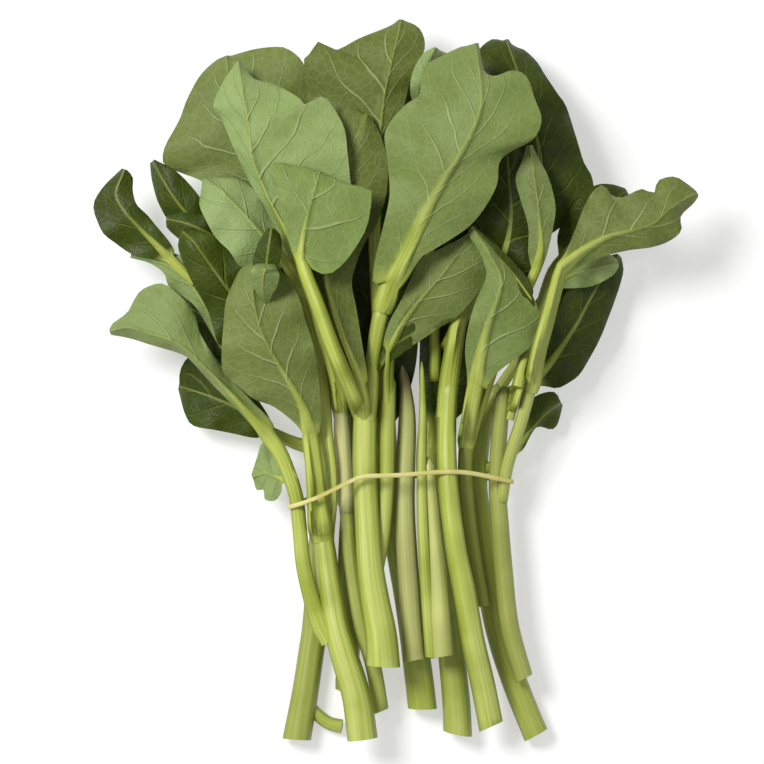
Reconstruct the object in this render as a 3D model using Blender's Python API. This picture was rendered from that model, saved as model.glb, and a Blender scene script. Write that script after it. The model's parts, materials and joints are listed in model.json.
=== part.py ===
"""A tied bunch of leafy bok choy, lying on its back: thirteen leafy stalks and one rubber band.

Every stalk is one solid: its stem, its leaf stalks and its blades are fused. Lengths in the tables are
millimetres seen from above, with the tips towards +Y and the floor at Z = 0. Blades are laid one over the
other in the order of the tables, and each is raised until it clears what lies under it.
"""

import math

import bmesh
import bpy
import numpy as np

# Driving dimensions, millimetres
MM = 0.001
BLADE = 0.9              # thickness of a blade
AIR = 0.8                # air left between one layer and the next
CELL = 1.5               # grid of the height map that the layers are laid on
BAND_WIDE = 2.2          # rubber band, along the stems
BAND_THICK = 1.2         # rubber band, outwards
BAND_AIR = 0.6           # between the stems and the band
UNDER_BAND = BAND_THICK + BAND_AIR   # lowest stems clear the floor by this at the band
STEM_STEPS = 9           # cross-sections along a stem
PETIOLE_STEP = 13        # millimetres from one cross-section of a leaf stalk to the next
BLADE_STEPS = 9          # cross-sections along a blade
LOW_STEMS = 6            # the first rows of STEMS lie on the floor

# Route of the band over the front of the bunch and under its back, as x and y
BAND_FRONT = [(-56, -15), (-45, -11.5), (-35, -7), (-25, -2), (-18, 0.7), (-10, 1.2), (0, 1.5), (10, 2.3),
              (20, 3), (30, 3), (40, 1.5), (56, -2.5)]
BAND_BACK = [(-56, -15), (-40, -9), (-20, -2), (0, 0), (20, 0.5), (40, -0.5), (56, -2.5)]

# Stems: name, node, stem that carries it, then x, y, height of the centre line, width from the cut end upwards
STEMS = [
    ("s_outer_left", "stalk_outer_left", None,
     [(-50, -127, 7, 14), (-46, -105, 7, 13.5), (-43, -85, 7.2, 13), (-41, -70, 7.4, 12.5), (-39, -40, 7.8, 12),
      (-37, -6, 7.5, 11), (-40, 25, 8, 10), (-50, 50, 10, 9)]),
    ("s_low_shoot", "stalk_outer_left", "s_outer_left",
     [(-28, -121, 4, 7), (-35, -119, 4.5, 6.5), (-42, -113, 5.5, 6), (-46, -106, 6.5, 5)]),
    ("s_under_left", "stalk_under_left", None,
     [(-26, -104, 6, 11), (-25, -80, 6.5, 12), (-24, -40, 7.5, 12), (-23, -3, 7.5, 11.5), (-27, 30, 8.5, 10.5),
      (-36, 60, 11, 9)]),
    ("s_under_centre", "stalk_under_centre", None,
     [(11, -112, 7.5, 14.5), (9, -95, 7.5, 14), (4, -60, 8, 13), (-6, 0, 8.2, 13), (-8, 35, 9, 11), (-8, 65, 12, 9)]),
    ("s_under_right", "stalk_under_right", None,
     [(28, -124, 7, 14), (27, -105, 7, 13.5), (22, -60, 7.6, 12.5), (14, 0, 7.7, 12), (16, 35, 9, 10.5),
      (22, 68, 12, 9)]),
    ("s_outer_right", "stalk_outer_right", None,
     [(66, -125, 6.5, 13), (57, -103, 6.8, 12.5), (49, -80, 7, 12), (44, -58, 7.4, 11.5), (39, -20, 7.6, 11),
      (37, -1, 7.2, 11), (40, 25, 8, 10), (48, 45, 11, 8.5)]),
    ("s_right_pale", "stalk_right", None,
     [(60, -97, 15, 9), (53, -72, 16.5, 9.5), (50, -45, 17, 9.5), (48, -20, 17.5, 9), (47, -1, 18, 8.5),
      (48, 22, 20.5, 8), (50, 44, 24, 7)]),
    ("s_g_stalk", "stalk_right", "s_right_pale",
     [(49, -12, 20, 6), (51, 3, 23, 6.5), (54, 14, 26, 6.5), (58.5, 28, 29, 6.5), (63, 45, 32, 6.5)]),
    ("s_middle_left", "stalk_middle_left", None,
     [(-9, -113, 14, 8), (-13, -90, 19, 8), (-19, -70, 19.5, 7.5), (-23.5, -42, 19.5, 7), (-25.5, -18, 19.5, 7),
      (-26.5, -3, 19.5, 8), (-27, 15, 20, 8), (-28, 34, 21.5, 7)]),
    ("s_sheath", "stalk_middle_left", "s_middle_left",
     [(-25.5, -17, 21, 5), (-25.8, -13, 21.5, 8.5), (-26.5, -2, 21.5, 9), (-27.5, 15, 22, 8.5), (-28.5, 34, 23, 6.5),
      (-28.5, 50, 24, 3)]),
    ("s_thin_right", "stalk_thin_right", None,
     [(40, -62, 18, 7), (36, -40, 19, 7), (33, -20, 19.5, 7.5), (31.5, 0, 19.5, 7.5), (32, 18, 21, 7.5)]),
    ("s_centre_short", "stalk_centre_short", None,
     [(7, -88, 20, 12), (5, -60, 20, 11), (2.5, -20, 20, 10), (2.5, 2, 20, 10), (3.5, 25, 21, 9), (3, 40, 22, 6.5),
      (1, 54, 23, 3)]),
    ("s_left", "stalk_left", None,
     [(-18, -126, 15, 15), (-21, -105, 18, 14.5), (-27, -85, 20, 14), (-31, -70, 21, 12.5), (-34.5, -48, 21, 11.5),
      (-36.6, -32, 21, 10.5), (-37.5, -22, 21, 8)]),
    ("s_split", "stalk_split", None,
     [(20, -86, 24, 12), (19, -64, 25, 11), (18, -45, 25, 10), (16.5, -28, 25, 8), (15, -8, 25, 7), (13.5, 10, 25, 6)]),
    ("s_split_rib", "stalk_split", "s_split",
     [(15, -86, 24, 6), (13, -60, 24.5, 6), (11, -25, 25, 5.5), (10.5, 5, 25, 5), (11, 30, 26, 4), (10.5, 56, 27.5, 1.8)]),
    ("s_ridged", "stalk_ridged", None,
     [(-8, -90, 26, 17), (-9, -75, 27, 16), (-12, -58, 28, 14.5), (-14.5, -40, 28.5, 13), (-16.3, -10, 28, 12),
      (-17, 12, 29, 12), (-16.5, 36, 31, 12)]),
    ("s_ridged_side", "stalk_ridged", "s_ridged",
     [(-11, -48, 27, 5), (-8.5, -30, 27, 7), (-6.5, -5, 27.5, 7.5), (-6, 22, 29, 7.5), (-5, 50, 31, 6.5)]),
    ("s_d_stalk", "stalk_ridged", "s_ridged",
     [(-15, 28, 32, 7.5), (-14, 40, 34, 7.5), (-13, 55, 37, 7.5), (-11, 68, 40, 8), (-8.2, 83, 43, 8.5)]),
    ("s_front_right", "stalk_front_right", None,
     [(44, -120, 16, 12.5), (40, -100, 20, 12), (35, -78, 24, 11.5), (31, -55, 26, 11), (27, -35, 27.5, 10.5),
      (23.5, -8, 28, 10), (22.3, 14, 28.5, 9.5), (22.8, 34, 30, 9), (24, 48, 31, 8)]),
]

# Blades, in the order they are laid: name, node, stem that carries it, leaf stalk (x, y, width),
# left edge, midrib, right edge, heights at base, middle and tip, drop of the left and right edges,
# height and count of the waves, and which face looks up (u the pale underside, t the dark top)
LEAVES = [
    ("g_left", "stalk_outer_left", "s_outer_left", [(-40, 22, 7), (-50, 42, 6), (-58, 52, 5)],
     [(-70, 48), (-92, 58), (-108, 76)], [(-58, 52), (-74, 64), (-92, 76), (-112, 88)],
     [(-62, 68), (-80, 88), (-100, 94)], (12, 16, 3), (-3, -2), (2.0, 3), "t"),
    ("g_upper_left", "stalk_under_left", "s_under_left", [(-27, 28, 7), (-36, 60, 6), (-44, 84, 5)],
     [(-58, 92), (-82, 124), (-96, 150), (-98, 176)],
     [(-44, 84), (-55, 110), (-68, 140), (-80, 168), (-88, 192)],
     [(-34, 100), (-36, 130), (-48, 165), (-70, 192)], (12, 18, 3), (-2, -3), (2.5, 3), "t"),
    ("g_centre", "stalk_under_centre", "s_under_centre", [(-8, 32, 7), (-8, 62, 6), (-6, 84, 5)],
     [(-22, 92), (-34, 124), (-34, 160), (-18, 192)], [(-6, 84), (-4, 112), (-3, 145), (-2, 175), (0, 202)],
     [(10, 92), (24, 124), (24, 160), (14, 194)], (12, 16, 2), (-2, -2), (2.5, 3), "t"),
    ("g_upper_right", "stalk_under_right", "s_under_right", [(16, 36, 7), (22, 66, 6), (28, 86, 5)],
     [(18, 98), (16, 130), (26, 165), (44, 190)], [(28, 86), (36, 112), (45, 140), (52, 168), (56, 194)],
     [(46, 90), (66, 118), (76, 150), (70, 182)], (13, 18, 3), (-3, -2), (2.5, 3), "t"),
    ("g_right", "stalk_outer_right", "s_outer_right", [(40, 24, 7), (48, 42, 6), (57, 56, 5)],
     [(54, 66), (66, 86), (84, 106)], [(57, 56), (68, 72), (82, 90), (98, 104)],
     [(70, 56), (86, 70), (98, 88)], (11, 14, 3), (-2, -2), (2.0, 3), "t"),
    ("q_inner", "stalk_under_centre", "s_under_centre", [(-7, 4, 6), (-8, 14, 7), (-8, 24, 7)],
     [(-22, 34), (-32, 56), (-34, 80), (-28, 104)], [(-8, 24), (-9, 50), (-10, 80), (-10, 118)],
     [(2, 34), (8, 56), (8, 80), (0, 104)], (9, 10, 12), (-2, -2), (0.5, 2), "t"),
    ("q_right", "stalk_under_right", "s_under_right", [(15, 4, 6), (16, 14, 7), (18, 24, 7)],
     [(10, 36), (9.5, 60), (11, 84), (16, 100)], [(18, 24), (24, 50), (27, 76), (28, 106)],
     [(32, 34), (40, 56), (42, 78), (38, 98)], (9, 10, 12), (-2, -2), (0.5, 2), "t"),
    ("h_upper_left", "stalk_under_left", "s_under_left", [(-29, 36, 8), (-38, 62, 7), (-47, 92, 6), (-54, 112, 6)],
     [(-62, 114), (-75, 125), (-93, 141), (-104, 146), (-113, 150), (-113, 158), (-106, 172), (-103, 180),
      (-97, 192), (-92, 198), (-87, 202)],
     [(-54, 112), (-62, 135), (-70, 155), (-77, 172), (-82, 188), (-83, 203)],
     [(-50, 120), (-46, 135), (-43, 155), (-42, 175), (-44, 190), (-47, 200), (-54, 206), (-60, 207), (-70, 206)],
     (19, 36, 26), (-6, -4), (2.5, 4), "u"),
    ("i_top_centre", "stalk_under_centre", "s_under_centre", [(-8, 45, 8), (-10, 75, 7), (-12, 110, 6), (-12, 132, 6)],
     [(-22, 142), (-36, 162), (-44, 180), (-46, 199), (-44, 202), (-40, 208), (-38, 209), (-31, 205), (-19, 211),
      (-5, 217)],
     [(-12, 132), (-11, 150), (-9, 170), (-7, 185), (-3, 203), (1, 220)],
     [(-4, 140), (0, 156), (1, 172), (5, 190), (11, 203), (12, 208), (11, 213), (8, 217)],
     (20, 40, 30), (-4, -4), (2.5, 4), "u"),
    ("l_small_top", "stalk_under_right", "s_under_right", [(17, 40, 6), (16, 90, 5), (10, 150, 5), (10, 176, 4)],
     [(5, 184), (6, 194), (11, 203)], [(10, 176), (13, 190), (18, 206)], [(16, 182), (25, 193), (25, 202)],
     (20, 28, 26), (-2, -2), (1.0, 2), "u"),
    ("j_top_right", "stalk_under_right", "s_under_right", [(20, 56, 8), (34, 84, 7), (54, 104, 6), (62, 116, 6)],
     [(54, 124), (49, 138), (45, 155), (41, 175), (36, 192), (37, 204), (44, 211)],
     [(62, 116), (67, 135), (67, 155), (63, 172), (58, 190), (51, 211)],
     [(74, 118), (85, 127), (92, 131), (93, 138), (92, 145), (88, 152), (84, 165), (80, 178), (76, 184), (70, 193),
      (66, 200), (60, 206), (55, 208)], (20, 38, 22), (-4, -6), (2.5, 4), "t"),
    ("n_right", "stalk_outer_right", "s_outer_right", [(42, 30, 7), (52, 40, 6), (64, 46, 6)],
     [(66, 54), (72, 70), (80, 88), (94, 104)], [(64, 46), (73, 56), (84, 72), (94, 90), (106, 107)],
     [(70, 44), (76, 43), (82, 46), (87, 50), (93, 60), (97, 68), (101, 78), (104, 86), (108, 99)],
     (13, 24, 16), (2, -6), (1.5, 3), "t"),
    ("o_small_right", "stalk_outer_right", "s_outer_right", [(38, 4, 6), (48, 6, 5), (56, 13, 4)],
     [(57, 20), (60, 30), (64, 38), (70, 41), (75, 41)], [(56, 13), (63, 22), (70, 30), (78, 36)],
     [(60, 14), (66, 24), (73, 23), (76, 25), (78, 31)], (13, 14, 10), (-1, -3), (1.0, 2), "t"),
    ("x_behind_right", "stalk_right", "s_right_pale", [(52, 28, 6), (62, 62, 5), (72, 96, 5), (78, 106, 4)],
     [(76, 118), (84, 132), (93, 140), (101, 141)], [(78, 106), (87, 118), (98, 130), (109, 138)],
     [(86, 108), (98, 116), (110, 126), (112, 134)], (20, 32, 26), (-2, -3), (1.5, 2), "t"),
    ("g2_crumpled", "stalk_right", "s_right_pale", [(54, 36, 6), (62, 66, 5), (70, 88, 5), (74, 94, 5)],
     [(78, 103), (90, 108), (101, 107)], [(74, 94), (84, 98), (95, 101), (105, 103)], [(80, 91), (92, 92), (102, 97)],
     (24, 32, 28), (-2, -3), (1.5, 3), "u"),
    ("d1_dark", "stalk_outer_left", "s_outer_left", [(-50, 48, 6), (-66, 78, 5), (-82, 102, 5)],
     [(-94, 106), (-106, 116), (-115, 130), (-119, 142)], [(-82, 102), (-95, 118), (-108, 134), (-119, 152)],
     [(-84, 114), (-94, 132), (-106, 146)], (20, 34, 26), (-3, -2), (1.5, 3), "t"),
    ("l3_left_low", "stalk_outer_left", "s_outer_left", [(-42, 14, 7), (-52, 17, 6), (-62, 22, 5)],
     [(-70, 19), (-80, 21), (-90, 23), (-100, 25), (-104, 31)], [(-62, 22), (-74, 31), (-86, 37), (-97, 41), (-107, 44)],
     [(-66, 34), (-78, 50), (-92, 60), (-101, 59), (-106, 52)], (16, 20, 8), (-4, 2), (1.5, 3), "t"),
    ("d4_inner", "stalk_middle_left", "s_middle_left", [(-33, 38, 7), (-48, 56, 6), (-62, 66, 5)],
     [(-74, 64), (-86, 63), (-92, 80), (-101, 97), (-106, 110)], [(-62, 66), (-76, 82), (-88, 98), (-98, 112), (-104, 118)],
     [(-62, 78), (-70, 100), (-82, 112), (-94, 118)], (26, 34, 28), (-4, -2), (2.0, 3), "t"),
    ("d3_round", "stalk_outer_left", "s_outer_left", [(-52, 52, 5), (-64, 84, 5), (-78, 108, 4)],
     [(-90, 108), (-102, 112), (-111, 119)], [(-78, 108), (-90, 116), (-102, 122), (-112, 124)],
     [(-82, 118), (-94, 126), (-106, 127)], (26, 36, 30), (-2, -2), (1.5, 3), "t"),
    ("l1_pale", "stalk_outer_left", "s_outer_left", [(-48, 46, 7), (-64, 54, 6), (-80, 62, 6)],
     [(-86, 62), (-92, 72), (-98, 82), (-104, 87), (-111, 92), (-113, 98), (-120, 103)],
     [(-80, 62), (-90, 78), (-100, 92), (-112, 102), (-129, 107)],
     [(-80, 74), (-88, 92), (-98, 103), (-106, 107), (-119, 110)], (22, 34, 32), (-2, -1), (1.5, 3), "u"),
    ("l1_far_left", "stalk_outer_left", "l1_pale", [(-98, 94, 5), (-104, 99, 5), (-110, 105, 5)],
     [(-118, 105), (-128, 107), (-137, 113), (-142, 117), (-145, 123), (-147, 129), (-146, 134), (-141, 141)],
     [(-110, 105), (-117, 112), (-125, 120), (-132, 128), (-136, 136), (-132, 148)],
     [(-108, 109), (-111, 114), (-116, 120), (-121, 126), (-126, 131), (-128, 138), (-128, 144)],
     (1, 4, 0), (-4, -2), (1.5, 3), "t"),
    ("m_inner", "stalk_front_right", "s_front_right",
     [(22, 29, 9), (23, 42, 9.5), (25.5, 60, 9), (29, 78, 8), (36, 91, 6.5), (44, 98, 6)],
     [(38, 102), (36, 114), (36, 128), (39, 145), (44, 157)], [(44, 98), (50, 108), (53, 125), (52, 145), (51, 161)],
     [(52, 90), (60, 92), (66, 100), (70, 112), (69, 135), (60, 154)], (34, 46, 38), (-2, -3), (2.0, 3), "t"),
    ("k_narrow", "stalk_thin_right", "s_thin_right", [(32, 12, 6), (44, 50, 5), (58, 84, 5), (65, 100, 5)],
     [(61, 108), (61, 120), (57, 134), (55, 143), (58, 151)], [(65, 100), (67, 112), (66, 128), (64, 143), (62, 159)],
     [(70, 107), (73, 120), (74, 130), (71, 143), (66, 153)], (30, 46, 44), (-2, -2), (1.0, 3), "u"),
    ("c3_left", "stalk_left", "s_left",
     [(-34.5, -27, 6), (-33, -10, 6), (-33, 5, 5.5), (-35, 22, 5.5), (-36.5, 42, 6), (-41, 70, 6), (-47, 90, 6),
      (-54, 102, 6)],
     [(-64, 98), (-76, 101), (-81, 108), (-88, 115), (-93, 124), (-96, 131), (-95, 138)],
     [(-54, 102), (-60, 110), (-67, 118), (-76, 128), (-86, 138), (-94, 144)],
     [(-54, 110), (-57, 120), (-64, 130), (-70, 138), (-77, 143), (-88, 144)], (32, 42, 34), (-4, -3), (1.5, 3), "u"),
    ("c4_shaded", "stalk_ridged", "s_ridged", [(-17, 26, 8), (-18, 36, 8.5), (-20, 44, 8.5)],
     [(-25, 50), (-30, 62), (-34.5, 76), (-38.5, 90), (-42, 105), (-47, 125), (-45, 150), (-36, 168), (-24, 177)],
     [(-20, 44), (-24, 55), (-29, 68), (-33, 82), (-36, 96), (-36, 110), (-33, 125), (-28, 145), (-22, 160), (-16, 174)],
     [(-15, 46), (-17, 58), (-19, 70), (-21, 82), (-23, 93), (-21, 102), (-17, 112), (-12, 120), (-8, 130), (-6, 140),
      (-6, 150), (-8, 160), (-12, 170)],
     (35, 48, 38), (-2, -4), (1.0, 3), "u"),
    ("c1_big", "stalk_middle_left", "s_middle_left", [(-27.5, 26, 7), (-30, 46, 7), (-36, 68, 7), (-42, 88, 6.5), (-48, 104, 6)],
     [(-54, 108), (-60, 120), (-65, 130), (-70, 138), (-76, 150), (-85, 171), (-89, 178), (-84, 190), (-80, 196)],
     [(-48, 104), (-56, 120), (-64, 136), (-70, 152), (-72, 168), (-75, 185), (-77, 199)],
     [(-38, 106), (-28, 118), (-23, 130), (-24, 145), (-25, 155), (-27, 168), (-35, 181), (-39, 181), (-44, 177),
      (-49, 182), (-60, 188), (-70, 191)], (38, 56, 46), (-5, -5), (2.0, 4), "u"),
    ("l2_left", "stalk_left", "s_left",
     [(-34, -79, 8), (-38.5, -70, 9), (-42.5, -58, 8), (-46.3, -42, 7.3), (-48, -25, 7), (-49.8, -9, 7), (-54, 4, 7),
      (-58, 13, 7.5), (-63, 20, 8)],
     [(-70, 24), (-80, 35), (-90, 45), (-98, 54), (-104, 59), (-120, 64), (-130, 67)],
     [(-63, 20), (-70, 28), (-78, 38), (-87, 47), (-95, 55), (-102, 61), (-110, 66), (-120, 69), (-130, 72), (-139, 70)],
     [(-62, 28), (-72, 38), (-84, 52), (-95, 68), (-98, 78), (-104, 86), (-113, 93), (-120, 92), (-125, 89),
      (-128, 84), (-131, 79), (-138, 74)], (34, 44, 36), (-6, -5), (2.0, 4), "u"),
    ("l4_torn", "stalk_left", "l2_left", [(-50, 2, 6), (-53, 0.5, 5), (-56, -1, 4)],
     [(-57, -7), (-60, -11), (-65, -10.5), (-65.5, -6), (-69, -6)], [(-56, -1), (-60, 0.5), (-65, 2), (-71, 0)],
     [(-57, 6), (-61, 12), (-66, 17), (-69, 9)], (-6, -8, -12), (-3, -1), (1.0, 3), "u"),
    ("l5_big", "stalk_left", "s_left", [(-37, -31, 11), (-38, -24, 12.5), (-39.5, -12, 10), (-41, 4, 8.5), (-43, 20, 8)],
     [(-46, 20), (-50, 26), (-60, 34), (-70, 38), (-77, 44), (-84, 50), (-85, 58), (-84, 75), (-83, 84), (-80, 92),
      (-76, 100)],
     [(-43, 20), (-46, 33), (-53, 46), (-60, 58), (-66, 70), (-69, 82), (-70, 93), (-70, 103)],
     [(-38, 22), (-38, 40), (-41, 62), (-45, 75), (-47, 83), (-51, 92), (-58, 100)],
     (32, 56, 52), (-7, -6), (2.0, 4), "u"),
    ("l5_curl", "stalk_left", "l5_big", [(-65, 90, 1.5), (-65, 92, 2), (-64.5, 94, 3)],
     [(-69, 97), (-70, 103), (-68, 110), (-65, 116)], [(-64.5, 94), (-63, 106), (-61, 119)],
     [(-60, 96), (-57, 103), (-56, 110), (-57, 116)], (2, 8, 6), (-3, -3), (0.0, 2), "t"),
    ("l5_flap", "stalk_left", "l5_big", [(-64, 103, 9), (-64, 101, 11), (-64, 99.5, 12)],
     [(-57, 97), (-58, 92), (-61, 86)], [(-64, 99.5), (-65, 91), (-64, 82)], [(-71, 97), (-69, 90), (-66, 85)],
     (3, 6, 3), (-1, -1), (0.0, 2), "u"),
    ("e_centre", "stalk_ridged", "s_ridged_side", [(-5.5, 36, 6), (-5.5, 50, 5), (-5, 60, 5)],
     [(-8, 65), (-5, 75), (0, 84), (5, 95), (9, 104), (16, 108), (28, 114)],
     [(-5, 60), (1, 73), (8, 83), (14, 90), (20, 97), (29, 109), (35, 117)],
     [(0, 60), (10, 66), (19, 72), (27, 77), (36, 87), (42, 98), (42, 108)], (36, 46, 40), (-3, -4), (1.5, 3), "u"),
    ("e_fold", "stalk_ridged", "e_centre", [(-10, 51, 1.5), (-9.5, 52.5, 3), (-8.5, 54.5, 5)],
     [(-8.5, 61), (-5, 68), (1, 73), (8, 76)], [(-8.5, 54.5), (-3, 63), (4, 68), (13, 73)],
     [(-4, 56), (2, 60), (9, 65)], (1, 4, 2), (1, -2), (0.5, 2), "t"),
    ("f_right", "stalk_thin_right", "s_thin_right", [(31.7, 14, 7), (32, 19, 8.5), (34, 33, 8), (36, 44, 8)],
     [(32, 50), (31, 62), (33, 75), (37, 87), (41, 97), (38, 107), (33, 115)],
     [(36, 44), (38, 56), (41, 70), (45, 82), (48, 94), (43, 106), (34, 120)],
     [(41, 42), (46, 50), (55, 57), (63, 64), (67, 73), (66, 80), (62, 89), (56, 98), (48, 107), (39, 116)],
     (36, 56, 48), (-3, -6), (1.0, 3), "u"),
    ("f_tip_fold", "stalk_thin_right", "f_right", [(64, 82, 1.5), (63, 84, 2), (62, 86, 2.5)],
     [(57, 88), (50, 95), (42, 103), (36, 112)], [(62, 86), (54, 97), (45, 107), (34, 120)],
     [(63, 91), (57, 100), (48, 109), (39, 117)], (2, 3, 1), (-1, -1), (0.0, 2), "t"),
    ("g_far_right", "stalk_right", "s_g_stalk",
     [(62.3, 41, 7), (63.5, 45, 8.3), (66, 60, 8), (70, 75, 7.5), (74, 90, 7), (77, 100, 7)],
     [(79, 108), (84, 120), (88, 130), (92, 137), (97, 140), (101, 135), (106, 134), (115, 138), (121, 136), (123, 142),
      (131, 144), (138, 140)],
     [(77, 100), (88, 109), (99, 115), (110, 118), (120, 121), (127, 127), (134, 132), (142, 136)],
     [(84, 100), (92, 104), (101, 107), (110, 109), (119, 110), (128, 113), (134, 118), (134, 125), (140, 131)],
     (38, 52, 46), (-4, -5), (2.0, 4), "u"),
    ("c2_front", "stalk_ridged", "s_ridged",
     [(-18, 28, 8), (-21, 36, 8), (-27, 50, 8), (-33, 65, 7.5), (-39, 82, 7), (-44, 95, 6.5), (-47, 104, 6)],
     [(-51, 107), (-55, 120), (-58, 134), (-62, 149), (-50, 149)],
     [(-47, 104), (-46, 114), (-44, 124), (-41, 135), (-38, 146)],
     [(-41, 99), (-34, 97), (-27, 102), (-21, 110), (-16, 119), (-14, 129), (-14, 137), (-24, 140)],
     (50, 64, 60), (-3, -4), (1.0, 3), "u"),
    ("d_centre_right", "stalk_ridged", "s_d_stalk", [(-8.8, 79, 9), (-7.8, 83, 11), (-5, 92, 10)],
     [(-13, 93), (-12, 104), (-8, 120), (-5, 135), (-6, 150), (-7, 165), (2, 177), (9, 182), (10, 190), (13, 197),
      (20, 201), (28, 205), (32, 206)],
     [(-5, 92), (5, 112), (13, 128), (20, 140), (27, 151), (33, 162), (38, 175), (38, 190), (36, 207)],
     [(3, 94), (10, 105), (18, 110), (26, 115), (34, 121), (41, 130), (46, 140), (47, 150), (52, 155), (63, 161),
      (67, 170), (64, 180), (60, 191), (53, 194), (46, 191), (40, 194)],
     (46, 68, 58), (-6, -6), (2.5, 4), "u"),
]


# How fast a midrib narrows towards the tip: 1 is evenly, more is sooner
RIB = {"d_centre_right": 0.9, "f_right": 1.2, "g_far_right": 1.3, "l2_left": 1.4, "c4_shaded": 1.2}
RIB_USUAL = 2.2


def spline(points, count):
    """The points of a smooth line through `points`, evenly spaced along it."""
    p = np.array(points, float)
    if len(p) == 2:
        p = np.array([p[0], (p[0] + p[1]) / 2, p[1]])
    q = np.vstack([2 * p[0] - p[1], p, 2 * p[-1] - p[-2]])
    u = np.linspace(0, 1, 12, endpoint=False)[:, None]
    rows = []
    for a, b, c, d in zip(q[:-3], q[1:-2], q[2:-1], q[3:]):
        rows.append(0.5 * (2 * b + (c - a) * u + (2 * a - 5 * b + 4 * c - d) * u ** 2
                           + (3 * b - a - 3 * c + d) * u ** 3))
    fine = np.vstack(rows + [p[-1:]])
    run = np.concatenate([[0], np.cumsum(np.linalg.norm(np.diff(fine[:, :2], axis=0), axis=1))])
    at = np.linspace(0, run[-1], count)
    return np.stack([np.interp(at, run, fine[:, k]) for k in range(p.shape[1])], axis=1)


def across(path):
    """Unit vectors to the left of a path, in plan."""
    d = np.gradient(path[:, :2], axis=0)
    d /= np.linalg.norm(d, axis=1)[:, None] + 1e-9
    return np.stack([-d[:, 1], d[:, 0]], axis=1)


def smoothstep(x):
    x = np.clip(x, 0, 1)
    return x * x * (3 - 2 * x)


GRID_X = np.arange(-165, 166, CELL)
GRID_Y = np.arange(-150, 240, CELL)
FLOOR = np.full((len(GRID_Y), len(GRID_X)), -AIR)


class Layer:
    """A strip of cross-sections: plan positions, an upper and a lower surface, and its lift."""

    def __init__(self, name, node, parent, xy, top, low, stiff, pinned):
        self.name, self.node, self.parent = name, node, parent
        self.xy, self.top, self.low = xy, top, low
        self.lift = np.zeros(xy.shape[:2])
        self.stiff, self.pinned = stiff, pinned
        self.map = None

    def samples(self, surface, k=9):
        """Points inside every quad of the strip, with the quad's indexes."""
        a = np.linspace(0, 1, k)
        out = []
        for data in (self.xy[..., 0], self.xy[..., 1], surface):
            p, q, r, s = data[:-1, :-1], data[:-1, 1:], data[1:, :-1], data[1:, 1:]
            u, v = a[:, None], a[None, :]
            out.append(p[..., None, None] * (1 - u) * (1 - v) + q[..., None, None] * (1 - u) * v
                       + r[..., None, None] * u * (1 - v) + s[..., None, None] * u * v)
        return out

    def raster(self):
        x, y, z = self.samples(self.top + self.lift)
        grid = np.full(FLOOR.shape, -1000.0)
        i = np.rint((y - GRID_Y[0]) / CELL).astype(int).ravel()
        j = np.rint((x - GRID_X[0]) / CELL).astype(int).ravel()
        np.maximum.at(grid, (i, j), z.ravel())
        wide = grid.copy()
        for di in (-1, 0, 1):
            for dj in (-1, 0, 1):
                wide = np.maximum(wide, np.roll(np.roll(grid, di, 0), dj, 1))
        self.map = wide

    def need(self, ground):
        x, y, z = self.samples(self.low + self.lift)
        i = np.rint((y - GRID_Y[0]) / CELL).astype(int)
        j = np.rint((x - GRID_X[0]) / CELL).astype(int)
        short = (ground[i, j] + AIR - z).max(axis=(2, 3))
        short[:self.pinned] = 0
        out = np.zeros(self.lift.shape)
        for a, b in ((slice(0, -1), slice(0, -1)), (slice(0, -1), slice(1, None)),
                     (slice(1, None), slice(0, -1)), (slice(1, None), slice(1, None))):
            out[a, b] = np.maximum(out[a, b], short)
        return np.maximum(out, 0)

    def lay(self, below):
        ground = FLOOR.copy()
        for other in below:
            if other.name != self.parent:
                ground = np.maximum(ground, other.map)
        least = np.zeros(self.lift.shape)
        for _ in range(8):
            more = self.need(ground)
            more[:self.pinned] = 0
            if more.max() < 0.02:
                break
            least = np.where(more > 0, np.maximum(least, self.lift + more), least)
            if self.stiff:
                least[:] = least.max(axis=1)[:, None]
            lift = least.copy()
            for _ in range(14 if self.stiff else 5):
                pad = np.pad(lift, 1, mode="edge")
                lift = (pad[1:-1, 1:-1] * 2 + pad[:-2, 1:-1] + pad[2:, 1:-1]) / 4
                if not self.stiff:
                    pad = np.pad(lift, 1, mode="edge")
                    lift = (pad[1:-1, 1:-1] * 2 + pad[1:-1, :-2] + pad[1:-1, 2:]) / 4
                lift[:self.pinned] = 0
                lift = np.maximum(lift, least)
            self.lift = lift
        self.raster()


def stem_layer(name, node, carrier, points):
    path = spline(points, STEM_STEPS)
    side = across(path)
    half = path[:, 3:4] / 2
    across_at = np.array([1, 0.72, 0, -0.72, -1])
    xy = path[:, None, :2] + side[:, None, :] * (half * across_at)[..., None]
    rise = half * np.array([0, 0.7, 1, 0.7, 0])
    layer = Layer(name, node, carrier, xy, path[:, 2:3] + rise, path[:, 2:3] - rise, True, 0)
    layer.path = path
    return layer


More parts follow.
